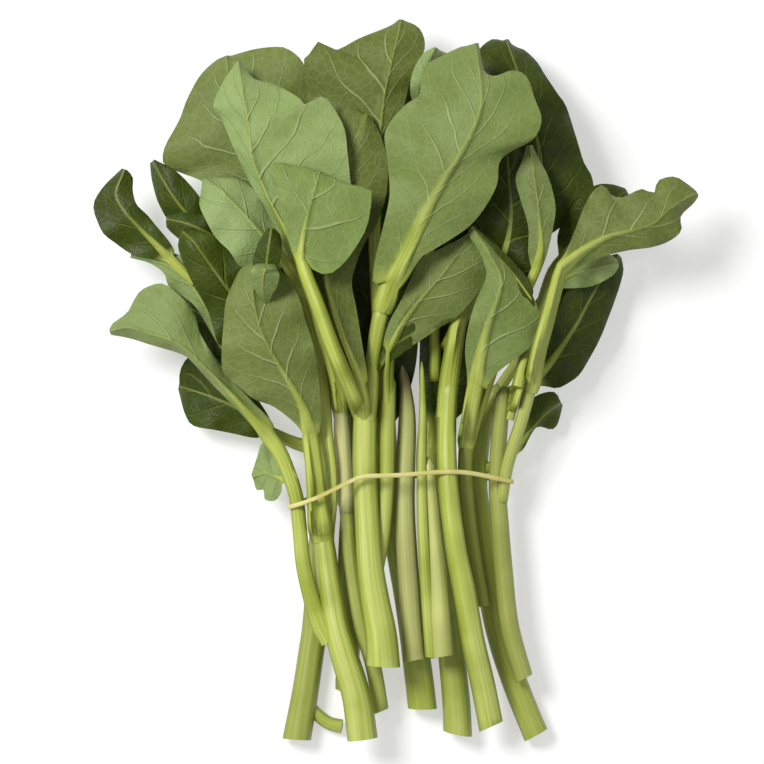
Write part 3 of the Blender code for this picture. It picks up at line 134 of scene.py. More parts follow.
# Blades, in the order they are laid: name, stem or blade that carries it, leaf stalk (x, y, width),
# left edge, midrib, right edge, heights at base, middle and tip, drop of the left and right edges,
# height and count of the waves, and which face looks up (u the pale underside, t the dark top)
LEAVES = [
    ("g_left", "s_outer_left", [(-40, 22, 7), (-50, 42, 6), (-58, 52, 5)],
     [(-70, 48), (-92, 58), (-108, 76)], [(-58, 52), (-74, 64), (-92, 76), (-112, 88)],
     [(-62, 68), (-80, 88), (-100, 94)], (12, 16, 3), (-3, -2), (2.0, 3), "t"),
    ("g_upper_left", "s_under_left", [(-27, 28, 7), (-36, 60, 6), (-44, 84, 5)],
     [(-58, 92), (-82, 124), (-96, 150), (-98, 176)],
     [(-44, 84), (-55, 110), (-68, 140), (-80, 168), (-88, 192)],
     [(-34, 100), (-36, 130), (-48, 165), (-70, 192)], (12, 18, 3), (-2, -3), (2.5, 3), "t"),
    ("g_centre", "s_under_centre", [(-8, 32, 7), (-8, 62, 6), (-6, 84, 5)],
     [(-22, 92), (-34, 124), (-34, 160), (-18, 192)], [(-6, 84), (-4, 112), (-3, 145), (-2, 175), (0, 202)],
     [(10, 92), (24, 124), (24, 160), (14, 194)], (12, 16, 2), (-2, -2), (2.5, 3), "t"),
    ("g_upper_right", "s_under_right", [(16, 36, 7), (22, 66, 6), (28, 86, 5)],
     [(18, 98), (16, 130), (26, 165), (44, 190)], [(28, 86), (36, 112), (45, 140), (52, 168), (56, 194)],
     [(46, 90), (66, 118), (76, 150), (70, 182)], (13, 18, 3), (-3, -2), (2.5, 3), "t"),
    ("g_right", "s_outer_right", [(40, 24, 7), (48, 42, 6), (57, 56, 5)], [(54, 66), (66, 86), (84, 106)],
     [(57, 56), (68, 72), (82, 90), (98, 104)], [(70, 56), (86, 70), (98, 88)], (11, 14, 3), (-2, -2),
     (2.0, 3), "t"),
    # q_inner and q_right lie low behind the stems and are drawn very dark: painted shade for the deep shadow
    # in the gaps between the stems
    ("q_inner", "s_under_centre", [(-7, 4, 6), (-8, 14, 7), (-8, 24, 7)],
     [(-22, 34), (-32, 56), (-34, 80), (-28, 104)], [(-8, 24), (-9, 50), (-10, 80), (-10, 118)],
     [(2, 34), (8, 56), (8, 80), (0, 104)], (9, 10, 12), (-2, -2), (0.5, 2), "t"),
    ("q_right", "s_under_right", [(15, 4, 6), (16, 14, 7), (18, 24, 7)],
     [(10, 36), (9.5, 60), (11, 84), (16, 100)], [(18, 24), (24, 50), (27, 76), (28, 106)],
     [(32, 34), (40, 56), (42, 78), (38, 98)], (9, 10, 12), (-2, -2), (0.5, 2), "t"),
    ("h_upper_left", "s_under_left", [(-29, 36, 8), (-38, 62, 7), (-47, 92, 6), (-54, 112, 6)],
     [(-62, 114), (-75, 125), (-93, 141), (-104, 146), (-113, 150), (-113, 158), (-106, 172), (-103, 180),
      (-97, 192), (-92, 198), (-87, 202)],
     [(-54, 112), (-62, 135), (-70, 155), (-77, 172), (-82, 188), (-83, 203)],
     [(-50, 120), (-46, 135), (-43, 155), (-42, 175), (-44, 190), (-47, 200), (-54, 206), (-60, 207),
      (-70, 206)], (19, 36, 26), (-6, -4), (2.5, 4), "u"),
    ("i_top_centre", "s_under_centre", [(-8, 45, 8), (-10, 75, 7), (-12, 110, 6), (-12, 132, 6)],
     [(-22, 142), (-36, 162), (-44, 180), (-46, 199), (-44, 202), (-40, 208), (-38, 209), (-31, 205),
      (-19, 211), (-5, 217)], [(-12, 132), (-11, 150), (-9, 170), (-7, 185), (-3, 203), (1, 220)],
     [(-4, 140), (0, 156), (1, 172), (5, 190), (11, 203), (12, 208), (11, 213), (8, 217)], (20, 40, 30),
     (-4, -4), (2.5, 4), "u"),
    ("l_small_top", "s_under_right", [(17, 40, 6), (16, 90, 5), (10, 150, 5), (10, 176, 4)],
     [(5, 184), (6, 194), (11, 203)], [(10, 176), (13, 190), (18, 206)], [(16, 182), (25, 193), (25, 202)],
     (20, 28, 26), (-2, -2), (1.0, 2), "u"),
    ("j_top_right", "s_under_right", [(20, 56, 8), (34, 84, 7), (54, 104, 6), (62, 116, 6)],
     [(54, 124), (49, 138), (45, 155), (41, 175), (36, 192), (37, 204), (44, 211)],
     [(62, 116), (67, 135), (67, 155), (63, 172), (58, 190), (51, 211)],
     [(74, 118), (85, 127), (92, 131), (93, 138), (92, 145), (88, 152), (84, 165), (80, 178), (76, 184),
      (70, 193), (66, 200), (60, 206), (55, 208)], (20, 38, 22), (-4, -6), (2.5, 4), "t"),
    ("n_right", "s_outer_right", [(42, 30, 7), (52, 40, 6), (64, 46, 6)],
     [(66, 54), (72, 70), (80, 88), (94, 104)], [(64, 46), (73, 56), (84, 72), (94, 90), (106, 107)],
     [(70, 44), (76, 43), (82, 46), (87, 50), (93, 60), (97, 68), (101, 78), (104, 86), (108, 99)],
     (13, 24, 16), (2, -6), (1.5, 3), "t"),
    ("o_small_right", "s_outer_right", [(38, 4, 6), (48, 6, 5), (56, 13, 4)],
     [(57, 20), (60, 30), (64, 38), (70, 41), (75, 41)], [(56, 13), (63, 22), (70, 30), (78, 36)],
     [(60, 14), (66, 24), (73, 23), (76, 25), (78, 31)], (13, 14, 10), (-1, -3), (1.0, 2), "t"),
    ("x_behind_right", "s_right_pale", [(52, 28, 6), (62, 62, 5), (72, 96, 5), (78, 106, 4)],
     [(76, 118), (84, 132), (93, 140), (101, 141)], [(78, 106), (87, 118), (98, 130), (109, 138)],
     [(86, 108), (98, 116), (110, 126), (112, 134)], (20, 32, 26), (-2, -3), (1.5, 2), "t"),
    ("g2_crumpled", "s_right_pale", [(54, 36, 6), (62, 66, 5), (70, 88, 5), (74, 94, 5)],
     [(78, 103), (90, 108), (101, 107)], [(74, 94), (84, 98), (95, 101), (105, 103)],
     [(80, 91), (92, 92), (102, 97)], (24, 32, 28), (-2, -3), (1.5, 3), "u"),
    ("d1_dark", "s_outer_left", [(-50, 48, 6), (-66, 78, 5), (-82, 102, 5)],
     [(-94, 106), (-106, 116), (-115, 130), (-119, 142)],
     [(-82, 102), (-95, 118), (-108, 134), (-119, 152)], [(-84, 114), (-94, 132), (-106, 146)],
     (20, 34, 26), (-3, -2), (1.5, 3), "t"),
    ("l3_left_low", "s_outer_left", [(-42, 14, 7), (-52, 17, 6), (-62, 22, 5)],
     [(-70, 19), (-80, 21), (-90, 23), (-100, 25), (-104, 31)],
     [(-62, 22), (-74, 31), (-86, 37), (-97, 41), (-107, 44)],
     [(-66, 34), (-78, 50), (-92, 60), (-101, 59), (-106, 52)], (16, 20, 8), (-4, 2), (1.5, 3), "t"),
    ("d4_inner", "s_middle_left", [(-33, 38, 7), (-48, 56, 6), (-62, 66, 5)],
     [(-74, 64), (-86, 63), (-92, 80), (-101, 97), (-106, 110)],
     [(-62, 66), (-76, 82), (-88, 98), (-98, 112), (-104, 118)],
     [(-62, 78), (-70, 100), (-82, 112), (-94, 118)], (26, 34, 28), (-4, -2), (2.0, 3), "t"),
    ("d3_round", "s_outer_left", [(-52, 52, 5), (-64, 84, 5), (-78, 108, 4)],
     [(-90, 108), (-102, 112), (-111, 119)], [(-78, 108), (-90, 116), (-102, 122), (-112, 124)],
     [(-82, 118), (-94, 126), (-106, 127)], (26, 36, 30), (-2, -2), (1.5, 3), "t"),
    ("l1_pale", "s_outer_left", [(-48, 46, 7), (-64, 54, 6), (-80, 62, 6)],
     [(-86, 62), (-92, 72), (-98, 82), (-104, 87), (-111, 92), (-113, 98), (-120, 103)],
     [(-80, 62), (-90, 78), (-100, 92), (-112, 102), (-129, 107)],
     [(-80, 74), (-88, 92), (-98, 103), (-106, 107), (-119, 110)], (22, 34, 32), (-2, -1), (1.5, 3), "u"),
    ("l1_far_left", "l1_pale", [(-98, 94, 5), (-104, 99, 5), (-110, 105, 5)],
     [(-118, 105), (-128, 107), (-137, 113), (-142, 117), (-145, 123), (-147, 129), (-146, 134),
      (-141, 141)], [(-110, 105), (-117, 112), (-125, 120), (-132, 128), (-136, 136), (-132, 148)],
     [(-108, 109), (-111, 114), (-116, 120), (-121, 126), (-126, 131), (-128, 138), (-128, 144)], (1, 4, 0),
     (-4, -2), (1.5, 3), "t"),
    ("m_inner", "s_front_right",
     [(22, 29, 9), (23, 42, 9.5), (25.5, 60, 9), (29, 78, 8), (36, 91, 6.5), (44, 98, 6)],
     [(38, 102), (36, 114), (36, 128), (39, 145), (44, 157)],
     [(44, 98), (50, 108), (53, 125), (52, 145), (51, 161)],
     [(52, 90), (60, 92), (66, 100), (70, 112), (69, 135), (60, 154)], (34, 46, 38), (-2, -3), (2.0, 3),
     "t"),
    ("k_narrow", "s_thin_right", [(32, 12, 6), (44, 50, 5), (58, 84, 5), (65, 100, 5)],
     [(61, 108), (61, 120), (57, 134), (55, 143), (58, 151)],
     [(65, 100), (67, 112), (66, 128), (64, 143), (62, 159)],
     [(70, 107), (73, 120), (74, 130), (71, 143), (66, 153)], (30, 46, 44), (-2, -2), (1.0, 3), "u"),
    ("c3_left", "s_left",
     [(-34.5, -27, 6), (-33, -10, 6), (-33, 5, 5.5), (-35, 22, 5.5), (-36.5, 42, 6), (-41, 70, 6),
      (-47, 90, 6), (-54, 102, 6)],
     [(-64, 98), (-76, 101), (-81, 108), (-88, 115), (-93, 124), (-96, 131), (-95, 138)],
     [(-54, 102), (-60, 110), (-67, 118), (-76, 128), (-86, 138), (-94, 144)],
     [(-54, 110), (-57, 120), (-64, 130), (-70, 138), (-77, 143), (-88, 144)], (32, 42, 34), (-4, -3),
     (1.5, 3), "u"),
    ("c4_shaded", "s_ridged", [(-17, 26, 8), (-18, 36, 8.5), (-20, 44, 8.5)],
     [(-25, 50), (-30, 62), (-34.5, 76), (-38.5, 90), (-42, 105), (-47, 125), (-45, 150), (-36, 168),
      (-24, 177)],
     [(-20, 44), (-24, 55), (-29, 68), (-33, 82), (-36, 96), (-36, 110), (-33, 125), (-28, 145), (-22, 160),
      (-16, 174)],
     [(-15, 46), (-17, 58), (-19, 70), (-21, 82), (-23, 93), (-21, 102), (-17, 112), (-12, 120), (-8, 130),
      (-6, 140), (-6, 150), (-8, 160), (-12, 170)], (35, 48, 38), (-2, -4), (1.0, 3), "u"),
    ("c1_big", "s_middle_left", [(-27.5, 26, 7), (-30, 46, 7), (-36, 68, 7), (-42, 88, 6.5), (-48, 104, 6)],
     [(-54, 108), (-60, 120), (-65, 130), (-70, 138), (-76, 150), (-85, 171), (-89, 178), (-84, 190),
      (-80, 196)], [(-48, 104), (-56, 120), (-64, 136), (-70, 152), (-72, 168), (-75, 185), (-77, 199)],
     [(-38, 106), (-28, 118), (-23, 130), (-24, 145), (-25, 155), (-27, 168), (-35, 181), (-39, 181),
      (-44, 177), (-49, 182), (-60, 188), (-70, 191)], (38, 56, 46), (-5, -5), (2.0, 4), "u"),
    ("l2_left", "s_left",
     [(-34, -79, 8), (-38.5, -70, 9), (-42.5, -58, 8), (-46.3, -42, 7.3), (-48, -25, 7), (-49.8, -9, 7),
      (-54, 4, 7), (-58, 13, 7.5), (-63, 20, 8)],
     [(-70, 24), (-80, 35), (-90, 45), (-98, 54), (-104, 59), (-120, 64), (-130, 67)],
     [(-63, 20), (-70, 28), (-78, 38), (-87, 47), (-95, 55), (-102, 61), (-110, 66), (-120, 69), (-130, 72),
      (-139, 70)],
     [(-62, 28), (-72, 38), (-84, 52), (-95, 68), (-98, 78), (-104, 86), (-113, 93), (-120, 92), (-125, 89),
      (-128, 84), (-131, 79), (-138, 74)], (34, 44, 36), (-6, -5), (2.0, 4), "u"),
    ("l4_torn", "l2_left", [(-50, 2, 6), (-53, 0.5, 5), (-56, -1, 4)],
     [(-57, -7), (-60, -11), (-65, -10.5), (-65.5, -6), (-69, -6)],
     [(-56, -1), (-60, 0.5), (-65, 2), (-71, 0)], [(-57, 6), (-61, 12), (-66, 17), (-69, 9)], (-6, -8, -12),
     (-3, -1), (1.0, 3), "u"),
    ("l5_big", "s_left", [(-37, -31, 11), (-38, -24, 12.5), (-39.5, -12, 10), (-41, 4, 8.5), (-43, 20, 8)],
     [(-46, 20), (-50, 26), (-60, 34), (-70, 38), (-77, 44), (-84, 50), (-85, 58), (-84, 75), (-83, 84),
      (-80, 92), (-76, 100)],
     [(-43, 20), (-46, 33), (-53, 46), (-60, 58), (-66, 70), (-69, 82), (-70, 93), (-70, 103)],
     [(-38, 22), (-38, 40), (-41, 62), (-45, 75), (-47, 83), (-51, 92), (-58, 100)], (32, 56, 52), (-7, -6),
     (2.0, 4), "u"),
    ("l5_curl", "l5_big", [(-65, 90, 1.5), (-65, 92, 2), (-64.5, 94, 3)],
     [(-69, 97), (-70, 103), (-68, 110), (-65, 116)], [(-64.5, 94), (-63, 106), (-61, 119)],
     [(-60, 96), (-57, 103), (-56, 110), (-57, 116)], (2, 8, 6), (-3, -3), (0.0, 2), "t"),
    ("l5_flap", "l5_big", [(-64, 103, 9), (-64, 101, 11), (-64, 99.5, 12)],
     [(-57, 97), (-58, 92), (-61, 86)], [(-64, 99.5), (-65, 91), (-64, 82)],
     [(-71, 97), (-69, 90), (-66, 85)], (3, 6, 3), (-1, -1), (0.0, 2), "u"),
    ("e_centre", "s_ridged_side", [(-5.5, 36, 6), (-5.5, 50, 5), (-5, 60, 5)],
     [(-8, 65), (-5, 75), (0, 84), (5, 95), (9, 104), (16, 108), (28, 114)],
     [(-5, 60), (1, 73), (8, 83), (14, 90), (20, 97), (29, 109), (35, 117)],
     [(0, 60), (10, 66), (19, 72), (27, 77), (36, 87), (42, 98), (42, 108)], (36, 46, 40), (-3, -4),
     (1.5, 3), "u"),
    ("e_fold", "e_centre", [(-10, 51, 1.5), (-9.5, 52.5, 3), (-8.5, 54.5, 5)],
     [(-8.5, 61), (-5, 68), (1, 73), (8, 76)], [(-8.5, 54.5), (-3, 63), (4, 68), (13, 73)],
     [(-4, 56), (2, 60), (9, 65)], (1, 4, 2), (1, -2), (0.5, 2), "t"),
    ("f_right", "s_thin_right", [(31.7, 14, 7), (32, 19, 8.5), (34, 33, 8), (36, 44, 8)],
     [(32, 50), (31, 62), (33, 75), (37, 87), (41, 97), (38, 107), (33, 115)],
     [(36, 44), (38, 56), (41, 70), (45, 82), (48, 94), (43, 106), (34, 120)],
     [(41, 42), (46, 50), (55, 57), (63, 64), (67, 73), (66, 80), (62, 89), (56, 98), (48, 107), (39, 116)],
     (36, 56, 48), (-3, -6), (1.0, 3), "u"),
    ("f_tip_fold", "f_right", [(64, 82, 1.5), (63, 84, 2), (62, 86, 2.5)],
     [(57, 88), (50, 95), (42, 103), (36, 112)], [(62, 86), (54, 97), (45, 107), (34, 120)],
     [(63, 91), (57, 100), (48, 109), (39, 117)], (2, 3, 1), (-1, -1), (0.0, 2), "t"),
    ("g_far_right", "s_g_stalk",
     [(62.3, 41, 7), (63.5, 45, 8.3), (66, 60, 8), (70, 75, 7.5), (74, 90, 7), (77, 100, 7)],
     [(79, 108), (84, 120), (88, 130), (92, 137), (97, 140), (101, 135), (106, 134), (115, 138), (121, 136),
      (123, 142), (131, 144), (138, 140)],
     [(77, 100), (88, 109), (99, 115), (110, 118), (120, 121), (127, 127), (134, 132), (142, 136)],
     [(84, 100), (92, 104), (101, 107), (110, 109), (119, 110), (128, 113), (134, 118), (134, 125),
      (140, 131)], (38, 52, 46), (-4, -5), (2.0, 4), "u"),
    ("c2_front", "s_ridged",
     [(-18, 28, 8), (-21, 36, 8), (-27, 50, 8), (-33, 65, 7.5), (-39, 82, 7), (-44, 95, 6.5),
      (-47, 104, 6)], [(-51, 107), (-55, 120), (-58, 134), (-62, 149), (-50, 149)],
     [(-47, 104), (-46, 114), (-44, 124), (-41, 135), (-38, 146)],
     [(-41, 99), (-34, 97), (-27, 102), (-21, 110), (-16, 119), (-14, 129), (-14, 137), (-24, 140)],
     (50, 64, 60), (-3, -4), (1.0, 3), "u"),
    ("d_centre_right", "s_d_stalk", [(-8.8, 79, 9), (-7.8, 83, 11), (-5, 92, 10)],
     [(-13, 93), (-12, 104), (-8, 120), (-5, 135), (-6, 150), (-7, 165), (2, 177), (9, 182), (10, 190),
      (13, 197), (20, 201), (28, 205), (32, 206)],
     [(-5, 92), (5, 112), (13, 128), (20, 140), (27, 151), (33, 162), (38, 175), (38, 190), (36, 207)],
     [(3, 94), (10, 105), (18, 110), (26, 115), (34, 121), (41, 130), (46, 140), (47, 150), (52, 155),
      (63, 161), (67, 170), (64, 180), (60, 191), (53, 194), (46, 191), (40, 194)], (46, 68, 58), (-6, -6),
     (2.5, 4), "u"),
]

# How fast a midrib narrows towards the tip, in the part and as drawn: 1 is evenly, more is sooner
RIB = {"d_centre_right": 0.9, "f_right": 1.2, "g_far_right": 1.3, "l2_left": 1.4, "c4_shaded": 1.2}
RIB_USUAL = 2.2
FINE_RIB = {"d_centre_right": 1.5, "f_right": 1.8, "g_far_right": 2.2, "l2_left": 2.2, "c4_shaded": 1.8}
FINE_RIB_USUAL = 3.2
RIB_TIP, FINE_RIB_TIP = 0.8, 0.55    # half its width at the tip
TIP_HALF = 1.5           # half the width of a blade's tip

# What is drawn finer than the part, millimetres
FINE_AIR = 0.35          # least gap between fine layers
FINE_STEM_STEP = 4       # from one cross-section of a stem to the next
FINE_PETIOLE_STEP = 4.0
FINE_BLADE_STEP = 2.4
STEM_COLUMNS = 13        # points across a stem while it is laid
STEM_SIDES = 28          # points round a drawn stem
FINE_EDGE = 0.28         # half the thickness of a blade at its edge
RIPPLE = 0.5             # short waves along the edge
QUILT = 0.55             # a blade bulges by this between its side veins
SWELL = 0.9              # low swells over the whole blade, and their size along x and y
SWELL_X, SWELL_Y = 4.5, 5.5
VEIN_EVERY = 15          # along the midrib, from one pair of side veins to the next
VEIN_LEAN, VEIN_BEND = 0.27, 0.85    # how far side veins run forwards to the edge, and how they curve

# Columns of a fine blade, as shares of the way out: the stalk's round, the rib, and the rest of the blade
HALF = 10
RING = np.sin(np.linspace(0, math.pi / 2, HALF + 1))[1:]
RIB_COLUMNS = np.array([0.25, 0.5, 0.75, 1.0])
BLADE_COLUMNS = np.array([0.08, 0.2, 0.36, 0.55, 0.78, 1.0])

# Camera and light, metres unless marked
CAMERA_AT = (-8.6, 46)   # below the camera, millimetres
CAMERA_HEIGHT = 2.6
FRAME_MM = 366.7         # what the picture spans at FRAME_HEIGHT
FRAME_HEIGHT = 0.03
SENSOR = 36
ROOM, KEY, FILL = 0.40, 30.0, 2.0
LIT = (0, 0.05, 0)       # the lamps point here
SHARP = math.radians(60)  # edges sharper than this are drawn as edges

# Colours, as seen on a screen
STEM_LIGHT, STEM_MID, STEM_DEEP = (198, 207, 114), (174, 187, 72), (134, 150, 28)
# The olive stem colour is partly the stem's own olive and partly painted shade
STEM_PALE, STEM_OLIVE_AND_SHADE, DRIED = (222, 214, 160), (104, 112, 18), (84, 66, 36)
# Painted shade for the sides of stems and midribs, where they turn away from the light
STEM_SIDE_SHADE = (116, 132, 16)
UNDER_A, UNDER_B, UNDER_C, UNDER_VEIN = (142, 163, 98), (126, 147, 78), (102, 120, 46), (166, 182, 120)
# The olive underside colour is partly the leaf's own olive and partly painted shade; the darkest one is
# painted shade
UNDER_OLIVE_AND_SHADE, UNDER_PALE, UNDER_SHADE = (96, 106, 40), (150, 170, 114), (52, 64, 14)
TOP_A, TOP_B, TOP_C, TOP_VEIN = (66, 82, 4), (52, 66, 3), (38, 49, 2), (94, 112, 32)
# The darkest top colour is painted shade
TOP_SHADE, TOP_PALE = (30, 41, 2), (86, 104, 20)
CUT_A, CUT_B = (178, 190, 130), (150, 150, 90)
BAND_A, BAND_B = (222, 216, 142), (206, 196, 112)

# The olive share (partly the own olive colour, partly painted shade), the dark share (dried colour on stems,
# painted shade on leaves), and the pale share of a stem or leaf; 0 where none is given
OLIVE_AND_SHADE = {
    "s_centre_short": 0.3, "s_thin_right": 0.8, "s_right_pale": 0.6, "s_ridged_side": 0.15,
    "s_outer_left": 0.6, "s_under_left": 0.5, "s_g_stalk": 0.3, "s_outer_right": 0.45, "s_under_right": 0.2,
    "s_middle_left": 0.3, "g_left": 0.2, "g_upper_left": 0.5, "g_centre": 0.9, "g_upper_right": 0.9,
    "g_right": 0.6, "i_top_centre": 0.95, "c4_shaded": 0.9, "j_top_right": 0.4, "h_upper_left": 0.75,
    "l1_pale": 0.1, "l5_big": 0.7, "l5_flap": 0.15, "l2_left": 0.4, "c2_front": 0.1, "d_centre_right": 0.4,
    "x_behind_right": 0.6, "k_narrow": 0.5, "d4_inner": 0.5, "e_centre": 0.65, "f_right": 0.35,
    "g_far_right": 0.8, "m_inner": 0.5,
}
SHADE_AND_DRIED = {
    "s_centre_short": 0.05, "g_right": 0.2, "j_top_right": 0.3, "q_inner": 0.7, "q_right": 0.7,
    "x_behind_right": 0.3, "k_narrow": 0.2, "d4_inner": 0.2, "e_fold": 0.2, "m_inner": 0.35, "n_right": 0.1,
}
PALE = {
    "s_centre_short": 0.5, "s_sheath": 0.8, "s_right_pale": 0.2, "s_split": 0.35, "s_g_stalk": 0.15,
    "s_under_right": 0.1, "s_middle_left": 0.1, "l1_pale": 0.2, "l5_flap": 0.2, "c3_left": 0.35,
    "c1_big": 0.1, "e_fold": 0.1,
}
DRIED_TIPS = ("s_centre_short",)
# Folds and flaps: blade from their very root
FOLDS = ("l5_curl", "l5_flap", "e_fold", "f_tip_fold")


def run_along(path):
    """How far along a path each of its points is, in plan."""
    return np.concatenate([[0], np.cumsum(np.linalg.norm(np.diff(path[:, :2], axis=0), axis=1))])


def plan_length(points):
    return sum(math.dist(a[:2], b[:2]) for a, b in zip(points, points[1:]))


def spline(points, count):
    """The points of a smooth line through `points`, evenly spaced along it."""
    p = np.array(points, float)
    if len(p) == 2:
        p = np.array([p[0], (p[0] + p[1]) / 2, p[1]])
    q = np.vstack([2 * p[0] - p[1], p, 2 * p[-1] - p[-2]])
    u = np.linspace(0, 1, 12, endpoint=False)[:, None]
    rows = []
    for a, b, c, d in zip(q[:-3], q[1:-2], q[2:-1], q[3:]):
        rows.append(0.5 * (2 * b + (c - a) * u + (2 * a - 5 * b + 4 * c - d) * u ** 2
                           + (3 * b - a - 3 * c + d) * u ** 3))
    fine = np.vstack(rows + [p[-1:]])
    run = run_along(fine)
    at = np.linspace(0, run[-1], count)
    return np.stack([np.interp(at, run, fine[:, k]) for k in range(p.shape[1])], axis=1)


def across(path):
    """Unit vectors to the left of a path, in plan."""
    d = np.gradient(path[:, :2], axis=0)
    d /= np.linalg.norm(d, axis=1)[:, None] + 1e-9
    return np.stack([-d[:, 1], d[:, 0]], axis=1)


def smoothstep(x):
    x = np.clip(x, 0, 1)
    return x * x * (3 - 2 * x)


GRID_X = np.arange(-165, 166, CELL)
GRID_Y = np.arange(-150, 240, CELL)
FLOOR = np.full((len(GRID_Y), len(GRID_X)), 0.0)


class Layer:
    """A strip of cross-sections: plan positions, an upper and a lower surface, and its lift."""

    def __init__(self, name, node, parent, xy, top, low, stiff, pinned, **more):
        self.name, self.node, self.parent = name, node, parent
        self.xy, self.top, self.low = xy, top, low
        self.lift = np.zeros(xy.shape[:2])
        self.stiff, self.pinned = stiff, pinned
        self.map = None
        self.__dict__.update(more)

    def samples(self, surface, k):
        """Points inside every quad of the strip."""
        a = np.linspace(0, 1, k)
        u, v = a[:, None], a[None, :]
        out = []
        for data in (self.xy[..., 0], self.xy[..., 1], surface):
            p, q, r, s = data[:-1, :-1], data[:-1, 1:], data[1:, :-1], data[1:, 1:]
            out.append(p[..., None, None] * (1 - u) * (1 - v) + q[..., None, None] * (1 - u) * v
                       + r[..., None, None] * u * (1 - v) + s[..., None, None] * u * v)
        return out

    def cells(self, surface, k):
        """Row and column of the height map, and height, of points inside every quad."""
        x, y, z = self.samples(surface, k)
        i = np.rint((y - GRID_Y[0]) / CELL).astype(int)
        j = np.rint((x - GRID_X[0]) / CELL).astype(int)
        return i, j, z

    def raster(self, k):
        """Height map of the upper surface, one cell wider all round."""
        i, j, z = self.cells(self.top + self.lift, k)
        grid = np.full(FLOOR.shape, -1000.0)
        np.maximum.at(grid, (i.ravel(), j.ravel()), z.ravel())
        wide = grid.copy()
        for di in (-1, 0, 1):
            for dj in (-1, 0, 1):
                wide = np.maximum(wide, np.roll(np.roll(grid, di, 0), dj, 1))
        self.map = wide

    def need(self, ground, air, k):
        """How far each point has to rise to clear the ground by `air`."""
        i, j, z = self.cells(self.low + self.lift, k)
        short = (ground[i, j] + air - z).max(axis=(2, 3))
        short[:self.pinned] = 0
        out = np.zeros(self.lift.shape)
        for a in (slice(0, -1), slice(1, None)):
            for b in (slice(0, -1), slice(1, None)):
                out[a, b] = np.maximum(out[a, b], short)
        return np.maximum(out, 0)

    def lay(self, below, air, k, blurs):
        """Raise the layer, smoothly, until it clears all layers below it but its own carrier."""
        ground = FLOOR - air
        for other in below:
            if other.name != self.parent:
                ground = np.maximum(ground, other.map)
        least = np.zeros(self.lift.shape)
        start = self.lift.copy()
        for _ in range(8):
            more = self.need(ground, air, k)
            more[:self.pinned] = 0      # its foot stays on the carrier
            if more.max() < 0.02:
                break
            least = np.where(more > 0, np.maximum(least, self.lift - start + more), least)
            if self.stiff:
                least[:] = least.max(axis=1)[:, None]
            lift = least.copy()
            for _ in range(blurs):
                pad = np.pad(lift, 1, mode="edge")
                lift = (pad[1:-1, 1:-1] * 2 + pad[:-2, 1:-1] + pad[2:, 1:-1]) / 4
                if not self.stiff:
                    pad = np.pad(lift, 1, mode="edge")
                    lift = (pad[1:-1, 1:-1] * 2 + pad[1:-1, :-2] + pad[1:-1, 2:]) / 4
                lift[:self.pinned] = 0
                lift = np.maximum(lift, least)
            self.lift = start + lift
        self.raster(k)


def stem_layer(name, node, carrier, points, steps, columns):
    """A round stem as one strip."""
    path = spline(points, steps)
    side = across(path)
    half = path[:, 3:4] / 2
    x = np.array([1, 0.72, 0, -0.72, -1]) if columns == 5 else np.cos(np.linspace(0, math.pi, columns))
    rise = half * (np.array([0, 0.7, 1, 0.7, 0]) if columns == 5 else np.sqrt(np.maximum(1 - x * x, 0)))
    xy = path[:, None, :2] + side[:, None, :] * (half * x)[..., None]
    return Layer(name, node, carrier, xy, path[:, 2:3] + rise, path[:, 2:3] - rise, True, 0, path=path)


def rib_halves(name, end_half, t, fine):
    """Half the width of a midrib, which narrows to the tip."""
    if not fine:
        return RIB_TIP + (end_half - RIB_TIP) * (1 - t) ** RIB.get(name, RIB_USUAL)
    least = min(FINE_RIB_TIP, end_half)
    return least + (end_half - least) * (1 - t) ** FINE_RIB.get(name, FINE_RIB_USUAL) * (name not in FOLDS)


def coarse_blade(lines, spans, drops, rib, end_half, t):
    """Five columns: their places, how far they hang, and the blade's thickness over and under that."""
    left, mid, right = lines
    in_l, in_r = [np.minimum(0.72 * rib / np.maximum(span, 0.1), 0.6) for span in spans]
    xy = np.stack([left, mid + (left - mid) * in_l, mid, mid + (right - mid) * in_r, right], axis=1)
    level = np.concatenate([drops[0], drops[0] * in_l, t * 0, drops[1] * in_r, drops[1]], axis=1)
    fade = smoothstep(t * 3)
    thin = BLADE / 2
    edge = end_half * 0.35 * (1 - fade) + thin * fade
    crest = rib * 0.9
    back = crest * (1 - fade) + thin * fade
    flank = crest * 0.8 * (1 - fade) + thin * fade
    high = np.concatenate([edge, flank, np.maximum(crest, thin), flank, edge], axis=1)
    deep = np.concatenate([edge, flank, back, flank, edge], axis=1)
    return xy, level, high, deep


def both_halves(left, middle, right):
    """The same value over each half of a fine blade, and one in the middle."""
    return np.concatenate([np.repeat(left, HALF, 1), middle, np.repeat(right, HALF, 1)], axis=1)


